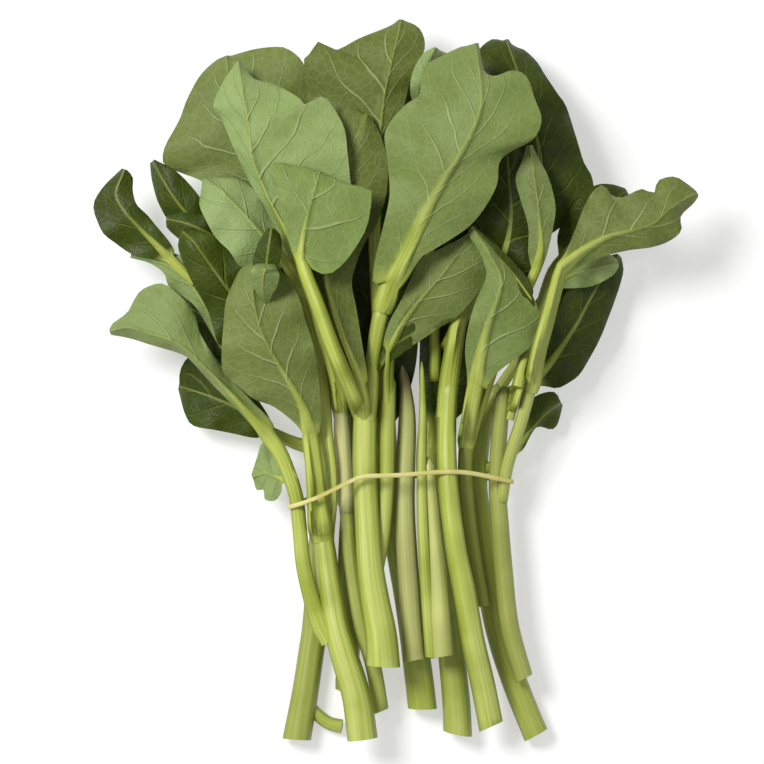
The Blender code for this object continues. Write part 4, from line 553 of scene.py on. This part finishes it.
def fine_blade(row, lines, spans, drops, rib, end_half, t, pairs):
    """As coarse_blade, with more columns; then the share and the millimetres from the midrib outwards."""
    name, waves, face = row[0], row[8], row[9]
    mid = lines[1][:, None]
    fade, blend = smoothstep(t * 3), smoothstep(t / 0.1)
    halves = []
    for span in spans:
        share = np.minimum(rib / np.maximum(span, 0.1), 0.7)
        flat = np.concatenate([share * RIB_COLUMNS, share + (1 - share) * BLADE_COLUMNS], axis=1)
        halves.append(RING * (1 - blend) + flat * blend)
    out = np.concatenate([halves[0][:, ::-1], t * 0, halves[1]], axis=1)
    sign = np.concatenate([np.ones(HALF), [0], -np.ones(HALF)])
    edge = both_halves(*(line[:, None] for line in lines))
    xy = mid + (edge - mid) * out[..., None]
    lateral = out * both_halves(spans[0], t * 0, spans[1])
    # Drop and waves of the edges, bulges between the side veins, and swells
    ripple = RIPPLE * np.sin(2 * math.pi * (waves[1] * 2.7) * t + 2 * len(name)) * np.sin(math.pi * t)
    sag = np.where(sign > 0, *drops) * np.abs(out) ** 1.15 + ripple * np.abs(out) ** 3 * sign
    vein = (t - VEIN_LEAN * np.abs(out) ** VEIN_BEND) * pairs + 0.5 * (sign > 0)
    room = np.clip((lateral - rib) / 6, 0, 1) * np.clip((1 - np.abs(out)) * 4, 0, 1) * np.clip(t * 6, 0, 1)
    quilt = QUILT * (np.abs(np.sin(math.pi * vein)) ** 0.7 - 0.5) * room
    if face == "u":
        quilt = -quilt
    swell = SWELL * np.sin(xy[..., 0] / SWELL_X + len(name)) * np.sin(xy[..., 1] / SWELL_Y + 2 * len(name))
    level = sag + quilt + swell * np.clip(t * 5, 0, 1) * np.clip((1 - t) * 5, 0, 1)
    # The midrib stands out below the blade, and lies in a groove on its dark top
    thick = end_half * 0.3 * (1 - fade) + FINE_EDGE * fade
    hump = np.sqrt(np.maximum(1 - (lateral / np.maximum(rib, 0.1)) ** 2, 0.0))
    crest = rib * 0.8 * hump * (1 - 0.35 * t)
    high, deep = thick + crest, thick + crest * (1 - fade)
    if face == "t":
        high, deep = deep - 0.25 * hump * fade, high
    # The first cross-sections are still as round as the leaf stalk
    body = both_halves(spans[0], np.maximum(*spans), spans[1])
    inside = np.clip(lateral / np.maximum(body, end_half), 0, 1)
    oval = end_half * 0.9 * np.sqrt(np.maximum(1 - inside ** 2, 0.02))
    high = oval * (1 - blend) + high * blend
    deep = oval * 0.8 * (1 - blend) + deep * blend
    return xy, level, high, deep, out * sign, lateral


def leaf_layer(row, layers, petiole_step, m, fine):
    """A leaf stalk and its blade, with `m` cross-sections, as one strip from its carrier to the tip."""
    name, parent, stalk, left, mid, right, heights, drops, waves, face = row
    carrier = layers[parent]
    dx, dy = carrier.xy[..., 0] - stalk[0][0], carrier.xy[..., 1] - stalk[0][1]
    i, j = np.unravel_index(np.argmin(np.hypot(dx, dy)), dx.shape)
    if carrier.stiff:
        j = dx.shape[1] // 2
    base = float(((carrier.top + carrier.low) / 2 + carrier.lift)[i, j])
    n = max(3, round(plan_length(stalk) / petiole_step))
    petiole = spline(stalk, n + 1)
    side = across(petiole)[:-1]
    petiole = petiole[:-1]
    half_p = petiole[:, 2:3] / 2
    end_half = stalk[-1][2] / 2

    line = spline(mid, m)
    out = across(line)
    edges = []
    for points, sign in ((left, 1), (right, -1)):
        first, last = line[0] + sign * out[0] * end_half, line[-1] + sign * out[-1] * TIP_HALF
        edges.append(spline([tuple(first)] + points + [tuple(last)], m))
    lines = (edges[0], line, edges[1])
    spans = [np.linalg.norm(edge - line, axis=1)[:, None] for edge in edges]

    s, t = np.linspace(0, 1, n + 1)[:-1, None], np.linspace(0, 1, m)[:, None]
    h0, h1, h2 = [h if carrier.stiff else h + base for h in heights]
    z_mid = h0 * (1 - t) * (1 - 2 * t) + h1 * 4 * t * (1 - t) + h2 * t * (2 * t - 1)
    z_stalk = base + (h0 - base) * (s if h0 < base else smoothstep(s))
    wave = waves[0] * np.sin(2 * math.pi * waves[1] * t + len(name)) * np.sin(math.pi * t)
    hang = (drops[0] * smoothstep(t * 2) + wave, drops[1] * smoothstep(t * 2) - wave)
    rib = rib_halves(name, end_half, t, fine)
    if fine:
        x_p = np.concatenate([RING[::-1], [0], -RING])
        rise = half_p * 0.9 * np.sqrt(np.maximum(1 - x_p * x_p, 0.02))
        fall = rise * 0.8
        blade_mm = float(np.linalg.norm(np.diff(line, axis=0), axis=1).sum())
        pairs = max(3, round(blade_mm / VEIN_EVERY))
        xy_b, level, high, deep, share, lateral = fine_blade(row, lines, spans, hang, rib, end_half, t, pairs)
        run_p = run_along(petiole)[:, None]
        run_b = run_p[-1, 0] + t * blade_mm
        drawn = 0.05 if name in FOLDS else 1.4
        cols = np.ones((1, 2 * HALF + 1))
        green = np.concatenate([s * 0, smoothstep(t / 0.1)]) * cols
        if name in FOLDS:
            green[:] = 1
        st_p = np.stack([x_p * np.ones_like(half_p), -0.2 + 0.2 * s * cols], axis=2)
        mm_p = np.stack([np.abs(half_p * x_p), run_p * cols, drawn * half_p * cols], axis=2)
        info = {"st": np.concatenate([st_p, np.stack([share, t * cols], axis=2)]),
                "mm": np.concatenate([mm_p, np.stack([lateral, run_b * cols, rib * cols], axis=2)]),
                "green": green, "pairs": pairs}
    else:
        x_p = np.array([1, 0.72, 0, -0.72, -1])
        rise = fall = half_p * np.array([0.35, 0.72, 0.9, 0.72, 0.35])
        xy_b, level, high, deep = coarse_blade(lines, spans, hang, rib, end_half, t)
        if face == "t":
            high, deep = deep, high
        info = {}
    xy_p = petiole[:, None, :2] + side[:, None, :] * (half_p * x_p)[..., None]
    top = np.concatenate([z_stalk + rise, z_mid + level + high])
    low = np.concatenate([z_stalk - fall, z_mid + level - deep])
    return Layer(name, carrier.node, parent, np.concatenate([xy_p, xy_b]), top, low, False, 2,
                 steps=(n, m), face=face, **info)


def sequence():
    """Rows in the order they are laid: low stems, their leaves, the other stems, and their leaves."""
    low = [row[0] for row in STEMS[:LOW_STEMS]]
    carried = {row[0]: row[1] for row in LEAVES}
    root = {name: carried[up] if up in carried else up for name, up in carried.items()}
    out = [("stem", row) for row in STEMS[:LOW_STEMS]]
    out += [("leaf", row) for row in LEAVES if root[row[0]] in low]
    out += [("stem", row) for row in STEMS[LOW_STEMS:]]
    return out + [("leaf", row) for row in LEAVES if root[row[0]] not in low]


def resample(field, where_i, where_j):
    """Bilinear look-up of a field at fractional rows and columns."""
    i = np.clip(where_i, 0, field.shape[0] - 1.001)
    j = np.clip(where_j, 0, field.shape[1] - 1.001)
    a, b = i.astype(int), j.astype(int)
    u, v = i - a, j - b
    return (field[a, b] * (1 - u) * (1 - v) + field[a, b + 1] * (1 - u) * v
            + field[a + 1, b] * u * (1 - v) + field[a + 1, b + 1] * u * v)


def blur(field, times):
    for _ in range(times):
        pad = np.pad(field, ((1, 1), (0, 0)), mode="edge")
        field = (pad[1:-1] * 2 + pad[:-2] + pad[2:]) / 4
    return field


def lay_coarse():
    """The part's own layers, as its solids have them."""
    layers, order = {}, []
    for kind, row in sequence():
        if kind == "stem":
            layer = stem_layer(*row, STEM_STEPS, 5)
        else:
            layer = leaf_layer(row, layers, PETIOLE_STEP, BLADE_STEPS, False)
        layer.lay(order, AIR, 9, 14 if layer.stiff else 5)
        layers[layer.name] = layer
        order.append(layer)
    return layers


def lay_fine():
    """Fine layers, at the heights of the coarse ones, raised where they would still cross."""
    coarse = lay_coarse()
    layers, order = {}, []
    for kind, row in sequence():
        rough = coarse[row[0]]
        if kind == "stem":
            steps = max(12, round(plan_length(row[3]) / FINE_STEM_STEP))
            layer = stem_layer(*row, steps, STEM_COLUMNS)
            at = np.linspace(0, STEM_STEPS - 1, steps)
            lift = np.interp(at, np.arange(STEM_STEPS), rough.lift[:, 0])
            layer.lift = blur(lift[:, None] * np.ones((1, STEM_COLUMNS)), 6)
        else:
            m = max(18, round(plan_length(row[4]) / FINE_BLADE_STEP))
            layer = leaf_layer(row, layers, FINE_PETIOLE_STEP, m, True)
            n = layer.steps[0]
            cn, cm = rough.steps
            where = np.concatenate([np.linspace(0, cn, n + 1)[:-1], cn + np.linspace(0, cm - 1, m)])
            x = layer.st[..., 0]
            column = np.interp(-x, [-1, -0.3, 0, 0.3, 1], np.arange(5))
            layer.lift = blur(resample(rough.lift, where[:, None] * np.ones_like(x), column), 8)
        layer.lay(order, FINE_AIR, 3, 30 if layer.stiff else 16)
        layers[layer.name] = layer
        order.append(layer)
    return order


def attribute(mesh, name, values):
    """Three numbers for every point, for the materials."""
    made = mesh.attributes.new(name, "FLOAT_VECTOR", "POINT")
    made.data.foreach_set("vector", np.ascontiguousarray(values, np.float32).ravel())


# Olive, dark and pale shares for every point; the olive and dark shares carry painted shade as well as own
# colour
def tint_and_shade_rows(name, count):
    return np.tile([shares.get(name, 0.0) for shares in (OLIVE_AND_SHADE, SHADE_AND_DRIED, PALE)], (count, 1))


def strip_mesh(layer):
    """Points, faces, slots and attributes of a closed blade."""
    n, m = layer.xy.shape[:2]
    top = np.concatenate([layer.xy, (layer.top + layer.lift)[..., None]], axis=2).reshape(-1, 3)
    low = np.concatenate([layer.xy, (layer.low + layer.lift)[..., None]], axis=2).reshape(-1, 3)
    under = n * m
    faces, slots = [], []
    up = 0 if layer.face == "u" else 1
    for i in range(n - 1):
        for j in range(m - 1):
            a, b, c, d = i * m + j, i * m + j + 1, (i + 1) * m + j + 1, (i + 1) * m + j
            faces += [(a, b, c, d), (a + under, d + under, c + under, b + under)]
            slots += [up, 1 - up]
        for j in (0, m - 1):
            a, d = i * m + j, (i + 1) * m + j
            face = (a, d, d + under, a + under)
            faces.append(face if j == 0 else face[::-1])
            slots.append(0)
    for i in (0, n - 1):
        ring = list(range(i * m, i * m + m)) + list(range(i * m + under, i * m + m + under))[::-1]
        faces.append(ring if i else ring[::-1])
        slots.append(0)
    st, mm, green = layer.st.reshape(-1, 2), layer.mm.reshape(-1, 3), layer.green.ravel()
    count = len(green)
    seed = (sum(map(ord, layer.name)) % 17) / 17
    first = np.stack([np.abs(st[:, 0]), st[:, 1], (st[:, 0] > 0) * 0.5], axis=1)
    third = np.stack([green, np.full(count, layer.pairs), np.full(count, seed)], axis=1)
    data = (first, mm, third, tint_and_shade_rows(layer.name, count))
    return np.concatenate([top, low]), faces, slots, [np.concatenate([a, a]) for a in data]


def stem_mesh(layer):
    """Points, faces, slots and attributes of a round stem with cut ends and shallow ridges."""
    path = layer.path.copy()
    path[:, 2] += layer.lift[:, 0]
    side = across(path)
    sides = STEM_SIDES
    seed = sum(map(ord, layer.name))
    turn = np.linspace(0, 2 * math.pi, sides, endpoint=False)
    ribs = 6 + seed % 3
    run = run_along(path)
    pts = []
    for i in range(len(path)):
        half = path[i, 3] / 2
        ridge = 1 - 0.035 * (0.5 - 0.5 * np.cos(ribs * turn + seed + run[i] * 0.006))
        swell = 1 + 0.03 * math.sin(run[i] / 17 + seed)
        left = run[-1] - run[i]
        close = math.sqrt(max(1 - (1 - min(left / (half * 1.2 + 0.01), 1)) ** 2, 0.06))
        r = half * ridge * min(swell, 1.0) * close
        x = path[i, 0] + side[i, 0] * r * np.cos(turn)
        y = path[i, 1] + side[i, 1] * r * np.cos(turn)
        pts.append(np.stack([x, y, path[i, 2] + r * np.sin(turn)], axis=1))
    # The cut end: a slightly hollow, slanting face
    start = pts[0]
    middle = start.mean(0)
    along = path[0] - path[1]
    along = np.array([along[0], along[1], 0]) / np.hypot(along[0], along[1])
    tilt = ((seed % 5) - 2) * 0.12
    ends = start + along * ((start - middle) @ np.array([1, 0, 0.3]))[:, None] * tilt
    inner = middle + (ends - middle) * 0.86 + along * 0.15
    core = middle + (ends - middle) * 0.45 - along * 0.5
    points = [core, inner, ends] + pts[1:]
    count = len(points)
    verts = np.concatenate(points + [middle[None] - along * 0.8, pts[-1].mean(0)[None]])
    faces, slots = [], []
    for i in range(count - 1):
        for k in range(sides):
            q = (k + 1) % sides
            faces.append(((i + 1) * sides + k, (i + 1) * sides + q, i * sides + q, i * sides + k))
            slots.append(3 if i < 2 else 2)
    c0, c1 = count * sides, count * sides + 1
    for k in range(sides):
        q = (k + 1) % sides
        faces.append((k, q, c0))
        slots.append(3)
        faces.append(((count - 1) * sides + q, (count - 1) * sides + k, c1))
        slots.append(2)
    about = np.concatenate([np.tile(turn, count), [0, 0]])
    along_mm = np.concatenate([np.repeat(np.concatenate([[0, 0], run]), sides), [0, run[-1]]])
    zero = np.zeros(len(about))
    first = np.stack([np.cos(about), np.sin(about), along_mm / 100], axis=1)
    second = np.stack([zero, along_mm, zero + 3], axis=1)
    third = np.stack([zero, zero + 5, zero + (seed % 17) / 17], axis=1)
    tint_and_shade = tint_and_shade_rows(layer.name, len(about))
    if layer.name in DRIED_TIPS:
        tint_and_shade[:, 1] = np.maximum(tint_and_shade[:, 1], smoothstep((along_mm / run[-1] - 0.8) / 0.18))
    return verts, faces, slots, [first, second, third, tint_and_shade]


class Shade:
    """A node material, built up by small steps."""

    def __init__(self, name):
        self.mat = bpy.data.materials.new(name)
        self.mat.use_nodes = True
        self.tree = self.mat.node_tree
        self.shader = self.tree.nodes["Principled BSDF"]

    def node(self, kind, **settings):
        made = self.tree.nodes.new(kind)
        for key, value in settings.items():
            setattr(made, key, value)
        return made

    def put(self, target, value):
        if isinstance(value, bpy.types.NodeSocket):
            self.tree.links.new(value, target)
        else:
            target.default_value = value

    def math(self, operation, a, b=0.0, c=0.0):
        made = self.node("ShaderNodeMath", operation=operation)
        for target, value in zip(made.inputs, (a, b, c)):
            self.put(target, value)
        return made.outputs[0]

    def times(self, a, b):
        return self.math("MULTIPLY", a, b)

    def ramp(self, value, low, high, out_low=0.0, out_high=1.0):
        """A smooth step from out_low, where the value is low, to out_high."""
        made = self.node("ShaderNodeMapRange", interpolation_type="SMOOTHSTEP")
        keys = ("Value", "From Min", "From Max", "To Min", "To Max")
        for key, number in zip(keys, (value, low, high, out_low, out_high)):
            self.put(made.inputs[key], number)
        return made.outputs[0]

    def parts(self, name):
        """The three numbers of an attribute."""
        given = self.node("ShaderNodeAttribute", attribute_name=name)
        split = self.node("ShaderNodeSeparateXYZ")
        self.put(split.inputs[0], given.outputs["Vector"])
        return split.outputs[0], split.outputs[1], split.outputs[2]

    def noise(self, scale, detail=2.0, where=None, rough=0.5):
        made = self.node("ShaderNodeTexNoise")
        if where is None:
            where = self.node("ShaderNodeTexCoord").outputs["Object"]
        self.put(made.inputs["Vector"], where)
        made.inputs["Scale"].default_value = scale
        made.inputs["Detail"].default_value = detail
        made.inputs["Roughness"].default_value = rough
        return made.outputs["Fac"]

    def net(self, scale, width):
        """1 on the lines between small cells, 0 inside them."""
        made = self.node("ShaderNodeTexVoronoi", feature="DISTANCE_TO_EDGE")
        self.put(made.inputs["Vector"], self.node("ShaderNodeTexCoord").outputs["Object"])
        made.inputs["Scale"].default_value = scale
        return self.ramp(made.outputs["Distance"], 0.0, width, 1.0, 0.0)

    def mix(self, share, a, b):
        """From colour a to colour b; each is a socket or a colour as seen on a screen."""
        made = self.node("ShaderNodeMix", data_type="RGBA")
        self.put(made.inputs[0], share)
        for target, colour in zip(made.inputs[6:8], (a, b)):
            self.put(target, colour if isinstance(colour, bpy.types.NodeSocket) else (*srgb(*colour), 1))
        return made.outputs[2]

    def surface(self, colour, roughness, specular=0.5):
        self.put(self.shader.inputs["Base Color"], colour)
        self.shader.inputs["Roughness"].default_value = roughness
        self.shader.inputs["Specular IOR Level"].default_value = specular

    def bump(self, height, strength, distance):
        made = self.node("ShaderNodeBump")
        made.inputs["Strength"].default_value = strength
        made.inputs["Distance"].default_value = distance
        self.put(made.inputs["Height"], height)
        return made.outputs["Normal"]

    def join(self, x, y, z):
        made = self.node("ShaderNodeCombineXYZ")
        for target, value in zip(made.inputs, (x, y, z)):
            self.put(target, value)
        return made.outputs[0]


def srgb(*colour):
    """Linear values of a colour as seen on a screen."""
    shares = [c / 255 for c in colour]
    return tuple(c / 12.92 if c <= 0.04045 else ((c + 0.055) / 1.055) ** 2.4 for c in shares)


def stem_colour(shade, around_where, with_tint_and_shade):
    """Pale green with fine darker lines along it, and painted shade on the sides that turn away from the
    light.
    """
    lines = shade.noise(1.0, 3.0, around_where, 0.55)
    patches = shade.noise(28.0, 2.0)
    olive_and_shade, dried, pale = shade.parts("leaf_tint")
    # Painted shade: sides that turn away from straight up are darker, the top stays lighter
    facing = shade.node("ShaderNodeSeparateXYZ")
    shade.put(facing.inputs[0], shade.node("ShaderNodeNewGeometry").outputs["Normal"])
    flank = shade.ramp(facing.outputs[2], 0.25, 0.85, 0.75, 0.0)
    base = shade.mix(shade.ramp(lines, 0.35, 0.65), STEM_MID, STEM_LIGHT)
    base = shade.mix(shade.ramp(patches, 0.45, 0.7, 0.0, 0.55), base, STEM_DEEP)
    base = shade.mix(flank, base, STEM_SIDE_SHADE)
    if not with_tint_and_shade:
        return base, lines
    base = shade.mix(shade.times(pale, 0.8), base, STEM_PALE)
    # Olive share: partly the stem's own olive, partly painted shade; the dried share is the stem's own dried
    # colour
    base = shade.mix(shade.times(olive_and_shade, 0.7), base, STEM_OLIVE_AND_SHADE)
    return shade.mix(shade.times(dried, 0.85), base, DRIED), lines


def blade_material(name, under):
    """Flesh, side veins, a fine net and the midrib, for the pale underside or the dark top."""
    shade = Shade(name)
    s, t, side = shade.parts("leaf_st")
    lateral, along, rib = shade.parts("leaf_mm")
    green, pairs, seed = shade.parts("leaf_kind")
    shift = shade.math("MULTIPLY_ADD", shade.noise(45.0), 0.10, -0.05)
    # Side veins leave the midrib in turn and curve to the edge
    curve = shade.math("POWER", s, VEIN_BEND)
    rank = shade.math("SUBTRACT", shade.math("ADD", t, shift), shade.times(curve, VEIN_LEAN))
    rank = shade.math("ADD", shade.times(rank, pairs), side)
    gap = shade.math("ABSOLUTE", shade.math("SUBTRACT", shade.math("FRACT", rank), 0.5))
    near = shade.math("SUBTRACT", 0.5, gap)
    width = shade.ramp(s, 0.0, 0.95, 0.085, 0.022)
    vein = shade.ramp(shade.math("DIVIDE", near, width), 0.25, 1.0, 1.0, 0.0)
    vein = shade.times(vein, shade.ramp(s, 0.8, 1.0, 1.0, 0.0))
    # The net between them
    net, fine_net = shade.net(230.0, 0.16), shade.net(420.0, 0.2)
    broad, mottle = shade.noise(16.0), shade.noise(160.0, 3.0)
    tone = shade.math("MULTIPLY_ADD", shade.math("SUBTRACT", seed, 0.5), 0.5, broad)
    olive_and_shade, dark, pale = shade.parts("leaf_tint")
    if under:
        flesh = shade.mix(shade.ramp(tone, 0.3, 0.75), UNDER_A, UNDER_B)
        flesh = shade.mix(shade.ramp(mottle, 0.4, 0.7, 0.0, 0.25), flesh, UNDER_C)
        # Olive share: partly the leaf's own olive, partly painted shade
        flesh = shade.mix(olive_and_shade, flesh, UNDER_OLIVE_AND_SHADE)
        flesh = shade.mix(pale, flesh, UNDER_PALE)
        # Painted shade: the dark share darkens leaves that lie in shadow
        flesh = shade.mix(dark, flesh, UNDER_SHADE)
        flesh = shade.mix(shade.times(net, 0.1), flesh, UNDER_VEIN)
        flesh = shade.mix(shade.times(vein, 0.6), flesh, UNDER_VEIN)
    else:
        flesh = shade.mix(shade.ramp(tone, 0.3, 0.75), TOP_A, TOP_B)
        flesh = shade.mix(shade.ramp(mottle, 0.4, 0.7, 0.0, 0.3), flesh, TOP_C)
        # Painted shade: the dark share darkens leaves that lie in shadow
        flesh = shade.mix(dark, flesh, TOP_SHADE)
        flesh = shade.mix(pale, flesh, TOP_PALE)
        flesh = shade.mix(shade.times(net, 0.12), flesh, TOP_VEIN)
        flesh = shade.mix(shade.times(vein, 0.6), flesh, TOP_VEIN)
    lines_at = shade.join(shade.times(lateral, 1.1), shade.times(along, 0.02), seed)
    rib_colour, lines = stem_colour(shade, lines_at, False)
    rib_mask = shade.ramp(shade.math("DIVIDE", lateral, rib), 0.75, 1.15, 1.0, 0.0)
    rib_fade = shade.ramp(t, 0.0, 0.55, 0.95, 0.2) if under else shade.ramp(t, 0.0, 0.5, 0.8, 0.3)
    strength = shade.math("MAXIMUM", shade.times(rib_mask, rib_fade), shade.math("SUBTRACT", 1.0, green))
    shade.surface(shade.mix(strength, flesh, rib_colour), 0.55 if under else 0.45, 0.25)
    relief = shade.math("ADD", vein, shade.times(net, 0.12))
    relief = shade.math("ADD", relief, shade.times(fine_net, 0.1))
    relief = shade.times(relief, shade.math("SUBTRACT", 1.0, strength))
    if not under:
        relief = shade.times(relief, -1.0)
    relief = shade.math("ADD", relief, shade.times(shade.times(lines, strength), 0.9))
    shade.put(shade.shader.inputs["Normal"], shade.bump(relief, 0.7, 0.0009))
    return shade.mat


def stem_material():
    shade = Shade("stem_green")
    a, b, along = shade.parts("leaf_st")
    seed = shade.parts("leaf_kind")[2]
    where = shade.join(shade.times(a, 4.0), shade.times(b, 4.0),
                       shade.math("ADD", shade.times(along, 1.2), shade.times(seed, 40.0)))
    colour, lines = stem_colour(shade, where, True)
    shade.surface(colour, 0.38)
    shade.put(shade.shader.inputs["Normal"], shade.bump(lines, 0.5, 0.0006))
    return shade.mat


def mottled_material(name, light, dark, scale, detail, roughness):
    shade = Shade(name)
    shade.surface(shade.mix(shade.ramp(shade.noise(scale, detail), 0.35, 0.65), light, dark), roughness)
    return shade.mat


def new_piece(name, verts, faces, slots):
    """An object in the scene from points in metres, faces and materials."""
    mesh = bpy.data.meshes.new(name)
    mesh.from_pydata(verts, [], faces)
    mesh.update()
    for made in slots:
        mesh.materials.append(made)
    mesh.shade_smooth()
    mesh.set_sharp_from_angle(angle=SHARP)
    piece = bpy.data.objects.new(name, mesh)
    bpy.context.scene.collection.objects.link(piece)
    return piece


def build(name, layers, slots):
    """One piece from the layers of a stalk."""
    verts, faces, kinds, extra, base = [], [], [], [[], [], [], []], 0
    for layer in layers:
        v, f, k, more = stem_mesh(layer) if layer.stiff else strip_mesh(layer)
        verts.append(v)
        faces += [[q + base for q in face] for face in f]
        kinds += k
        for a, b in zip(extra, more):
            a.append(b)
        base += len(v)
    piece = new_piece(name, (np.concatenate(verts) * MM).tolist(), faces, slots)
    piece.data.polygons.foreach_set("material_index", kinds)
    for key, values in zip(("leaf_st", "leaf_mm", "leaf_kind", "leaf_tint"), extra):
        attribute(piece.data, key, np.concatenate(values))
    return piece


def circles_at_band(order):
    """Centre and radius, in a section across the bunch, of everything that the band holds."""
    front = np.array(BAND_FRONT, float)
    out = []
    for layer in order:
        mid = layer.xy.shape[1] // 2
        line = layer.xy[:, mid]
        for i in range(len(line) - 1):
            here = np.interp(line[i, 0], front[:, 0], front[:, 1])
            there = np.interp(line[i + 1, 0], front[:, 0], front[:, 1])
            a, b = line[i, 1] - here, line[i + 1, 1] - there
            if a <= 0 < b:
                f = -a / (b - a)
                xy, high, low = [data[i] * (1 - f) + data[i + 1] * f for data in
                                 (layer.xy, layer.top + layer.lift, layer.low + layer.lift)]
                width = np.linalg.norm(xy[0] - xy[-1])
                out.append((xy[mid, 0], (high.max() + low.min()) / 2, max(width, high.max() - low.min()) / 2))
    return out


def hull(points):
    """Convex hull of points in a plane, anticlockwise."""
    points = sorted(set(points))

    def half(seq):
        line = []
        for p in seq:
            while len(line) > 1 and ((line[-1][0] - line[-2][0]) * (p[1] - line[-2][1])
                                     - (line[-1][1] - line[-2][1]) * (p[0] - line[-2][0])) <= 0:
                line.pop()
            line.append(p)
        return line[:-1]
    return half(points) + half(points[::-1])


def band_piece(order, made):
    """The rubber band, with rounded edges, stretched over the outer stems."""
    count, gap = 40, 0.15
    dots = []
    for x, z, r in circles_at_band(order):
        for k in range(count):
            a = 2 * math.pi * k / count
            dots.append((x + (r + gap) * math.cos(a), max(z + (r + gap) * math.sin(a), BAND_THICK)))
    line = hull(dots)
    loop = []
    for a, b in zip(line, line[1:] + line[:1]):
        steps = max(1, round(math.dist(a, b) / 1.5))
        loop += [(a[0] + (b[0] - a[0]) * k / steps, a[1] + (b[1] - a[1]) * k / steps) for k in range(steps)]
    loop = np.array(loop)
    run = np.roll(loop, -1, 0) - np.roll(loop, 1, 0)
    out = np.stack([run[:, 1], -run[:, 0]], axis=1)
    out /= np.linalg.norm(out, axis=1)[:, None] + 1e-9
    out[loop[:, 1] < BAND_THICK + 0.01] = (0, -1)
    front, back = spline(BAND_FRONT, 80), spline(BAND_BACK, 80)
    low, high = loop[:, 1].min(), loop[:, 1].max()
    # Its section: shares of half its width and of its thickness
    shape = [(-1.0, 0.15), (-1.0, 0.7), (-0.8, 1.0), (0.8, 1.0),
             (1.0, 0.7), (1.0, 0.15), (0.85, 0), (-0.85, 0)]
    verts, faces = [], []
    for (x, z), (nx, nz) in zip(loop, out):
        share = smoothstep((z - low) / (high - low))
        over, under = np.interp(x, front[:, 0], front[:, 1]), np.interp(x, back[:, 0], back[:, 1])
        y = over * share + under * (1 - share)
        for dy, up in shape:
            verts.append(((x + nx * BAND_THICK * up) * MM, (y + dy * BAND_WIDE / 2) * MM,
                          max(z + nz * BAND_THICK * up, 0) * MM))
    n, m = len(loop), len(shape)
    for i in range(n):
        for k in range(m):
            faces.append((i * m + k, i * m + (k + 1) % m, (i + 1) % n * m + (k + 1) % m, (i + 1) % n * m + k))
    return new_piece("band_round_stems", verts, faces, [made])


def area_light(name, place, size, power):
    data = bpy.data.lights.new(name, "AREA")
    data.shape = "DISK"
    data.size = size
    data.energy = power
    lamp = bpy.data.objects.new(name, data)
    bpy.context.scene.collection.objects.link(lamp)
    lamp.location = place
    lamp.rotation_euler = (Vector(LIT) - Vector(place)).to_track_quat("-Z", "Y").to_euler()


def main():
    order = lay_fine()
    slots = [blade_material("blade_underside", True), blade_material("blade_top", False), stem_material(),
             mottled_material("stem_cut", CUT_A, CUT_B, 260.0, 3.0, 0.6)]
    for name in dict.fromkeys(row[1] for row in STEMS):
        piece = build(name.replace("stalk", "leafy"), [layer for layer in order if layer.node == name], slots)
        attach(piece, "root")
        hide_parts(name)
    band = band_piece(order, mottled_material("band_cream", BAND_A, BAND_B, 60.0, 2.0, 0.55))
    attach(band, "root")
    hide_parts("rubber_band")

    bpy.ops.mesh.primitive_plane_add(size=8, location=(0, 0, -0.0005))
    floor = bpy.context.object
    floor.name = "pale_floor"
    paper = Shade("pale_paper")
    paper.shader.inputs["Base Color"].default_value = (0.62, 0.62, 0.61, 1)
    paper.shader.inputs["Emission Color"].default_value = (1, 1, 1, 1)
    paper.shader.inputs["Emission Strength"].default_value = 0.45
    paper.shader.inputs["Roughness"].default_value = 0.9
    floor.data.materials.append(paper.mat)

    lens = bpy.data.cameras.new("photo_camera")
    camera = bpy.data.objects.new("photo_camera", lens)
    bpy.context.scene.collection.objects.link(camera)
    camera.location = (CAMERA_AT[0] * MM, CAMERA_AT[1] * MM, CAMERA_HEIGHT)
    lens.sensor_width = SENSOR
    lens.lens = SENSOR * (CAMERA_HEIGHT - FRAME_HEIGHT) / (FRAME_MM * MM)
    lens.clip_end = 20
    bpy.context.scene.camera = camera

    world = bpy.data.worlds.new("soft_room")
    world.use_nodes = True
    sky = world.node_tree.nodes["Background"]
    sky.inputs[0].default_value = (1, 1, 1, 1)
    sky.inputs[1].default_value = ROOM
    bpy.context.scene.world = world
    bpy.context.scene.view_settings.view_transform = "Standard"
    area_light("window", (-0.9, 0.7, 1.6), 0.7, KEY)
    area_light("bounce", (1.2, -0.6, 1.4), 1.2, FILL)


main()
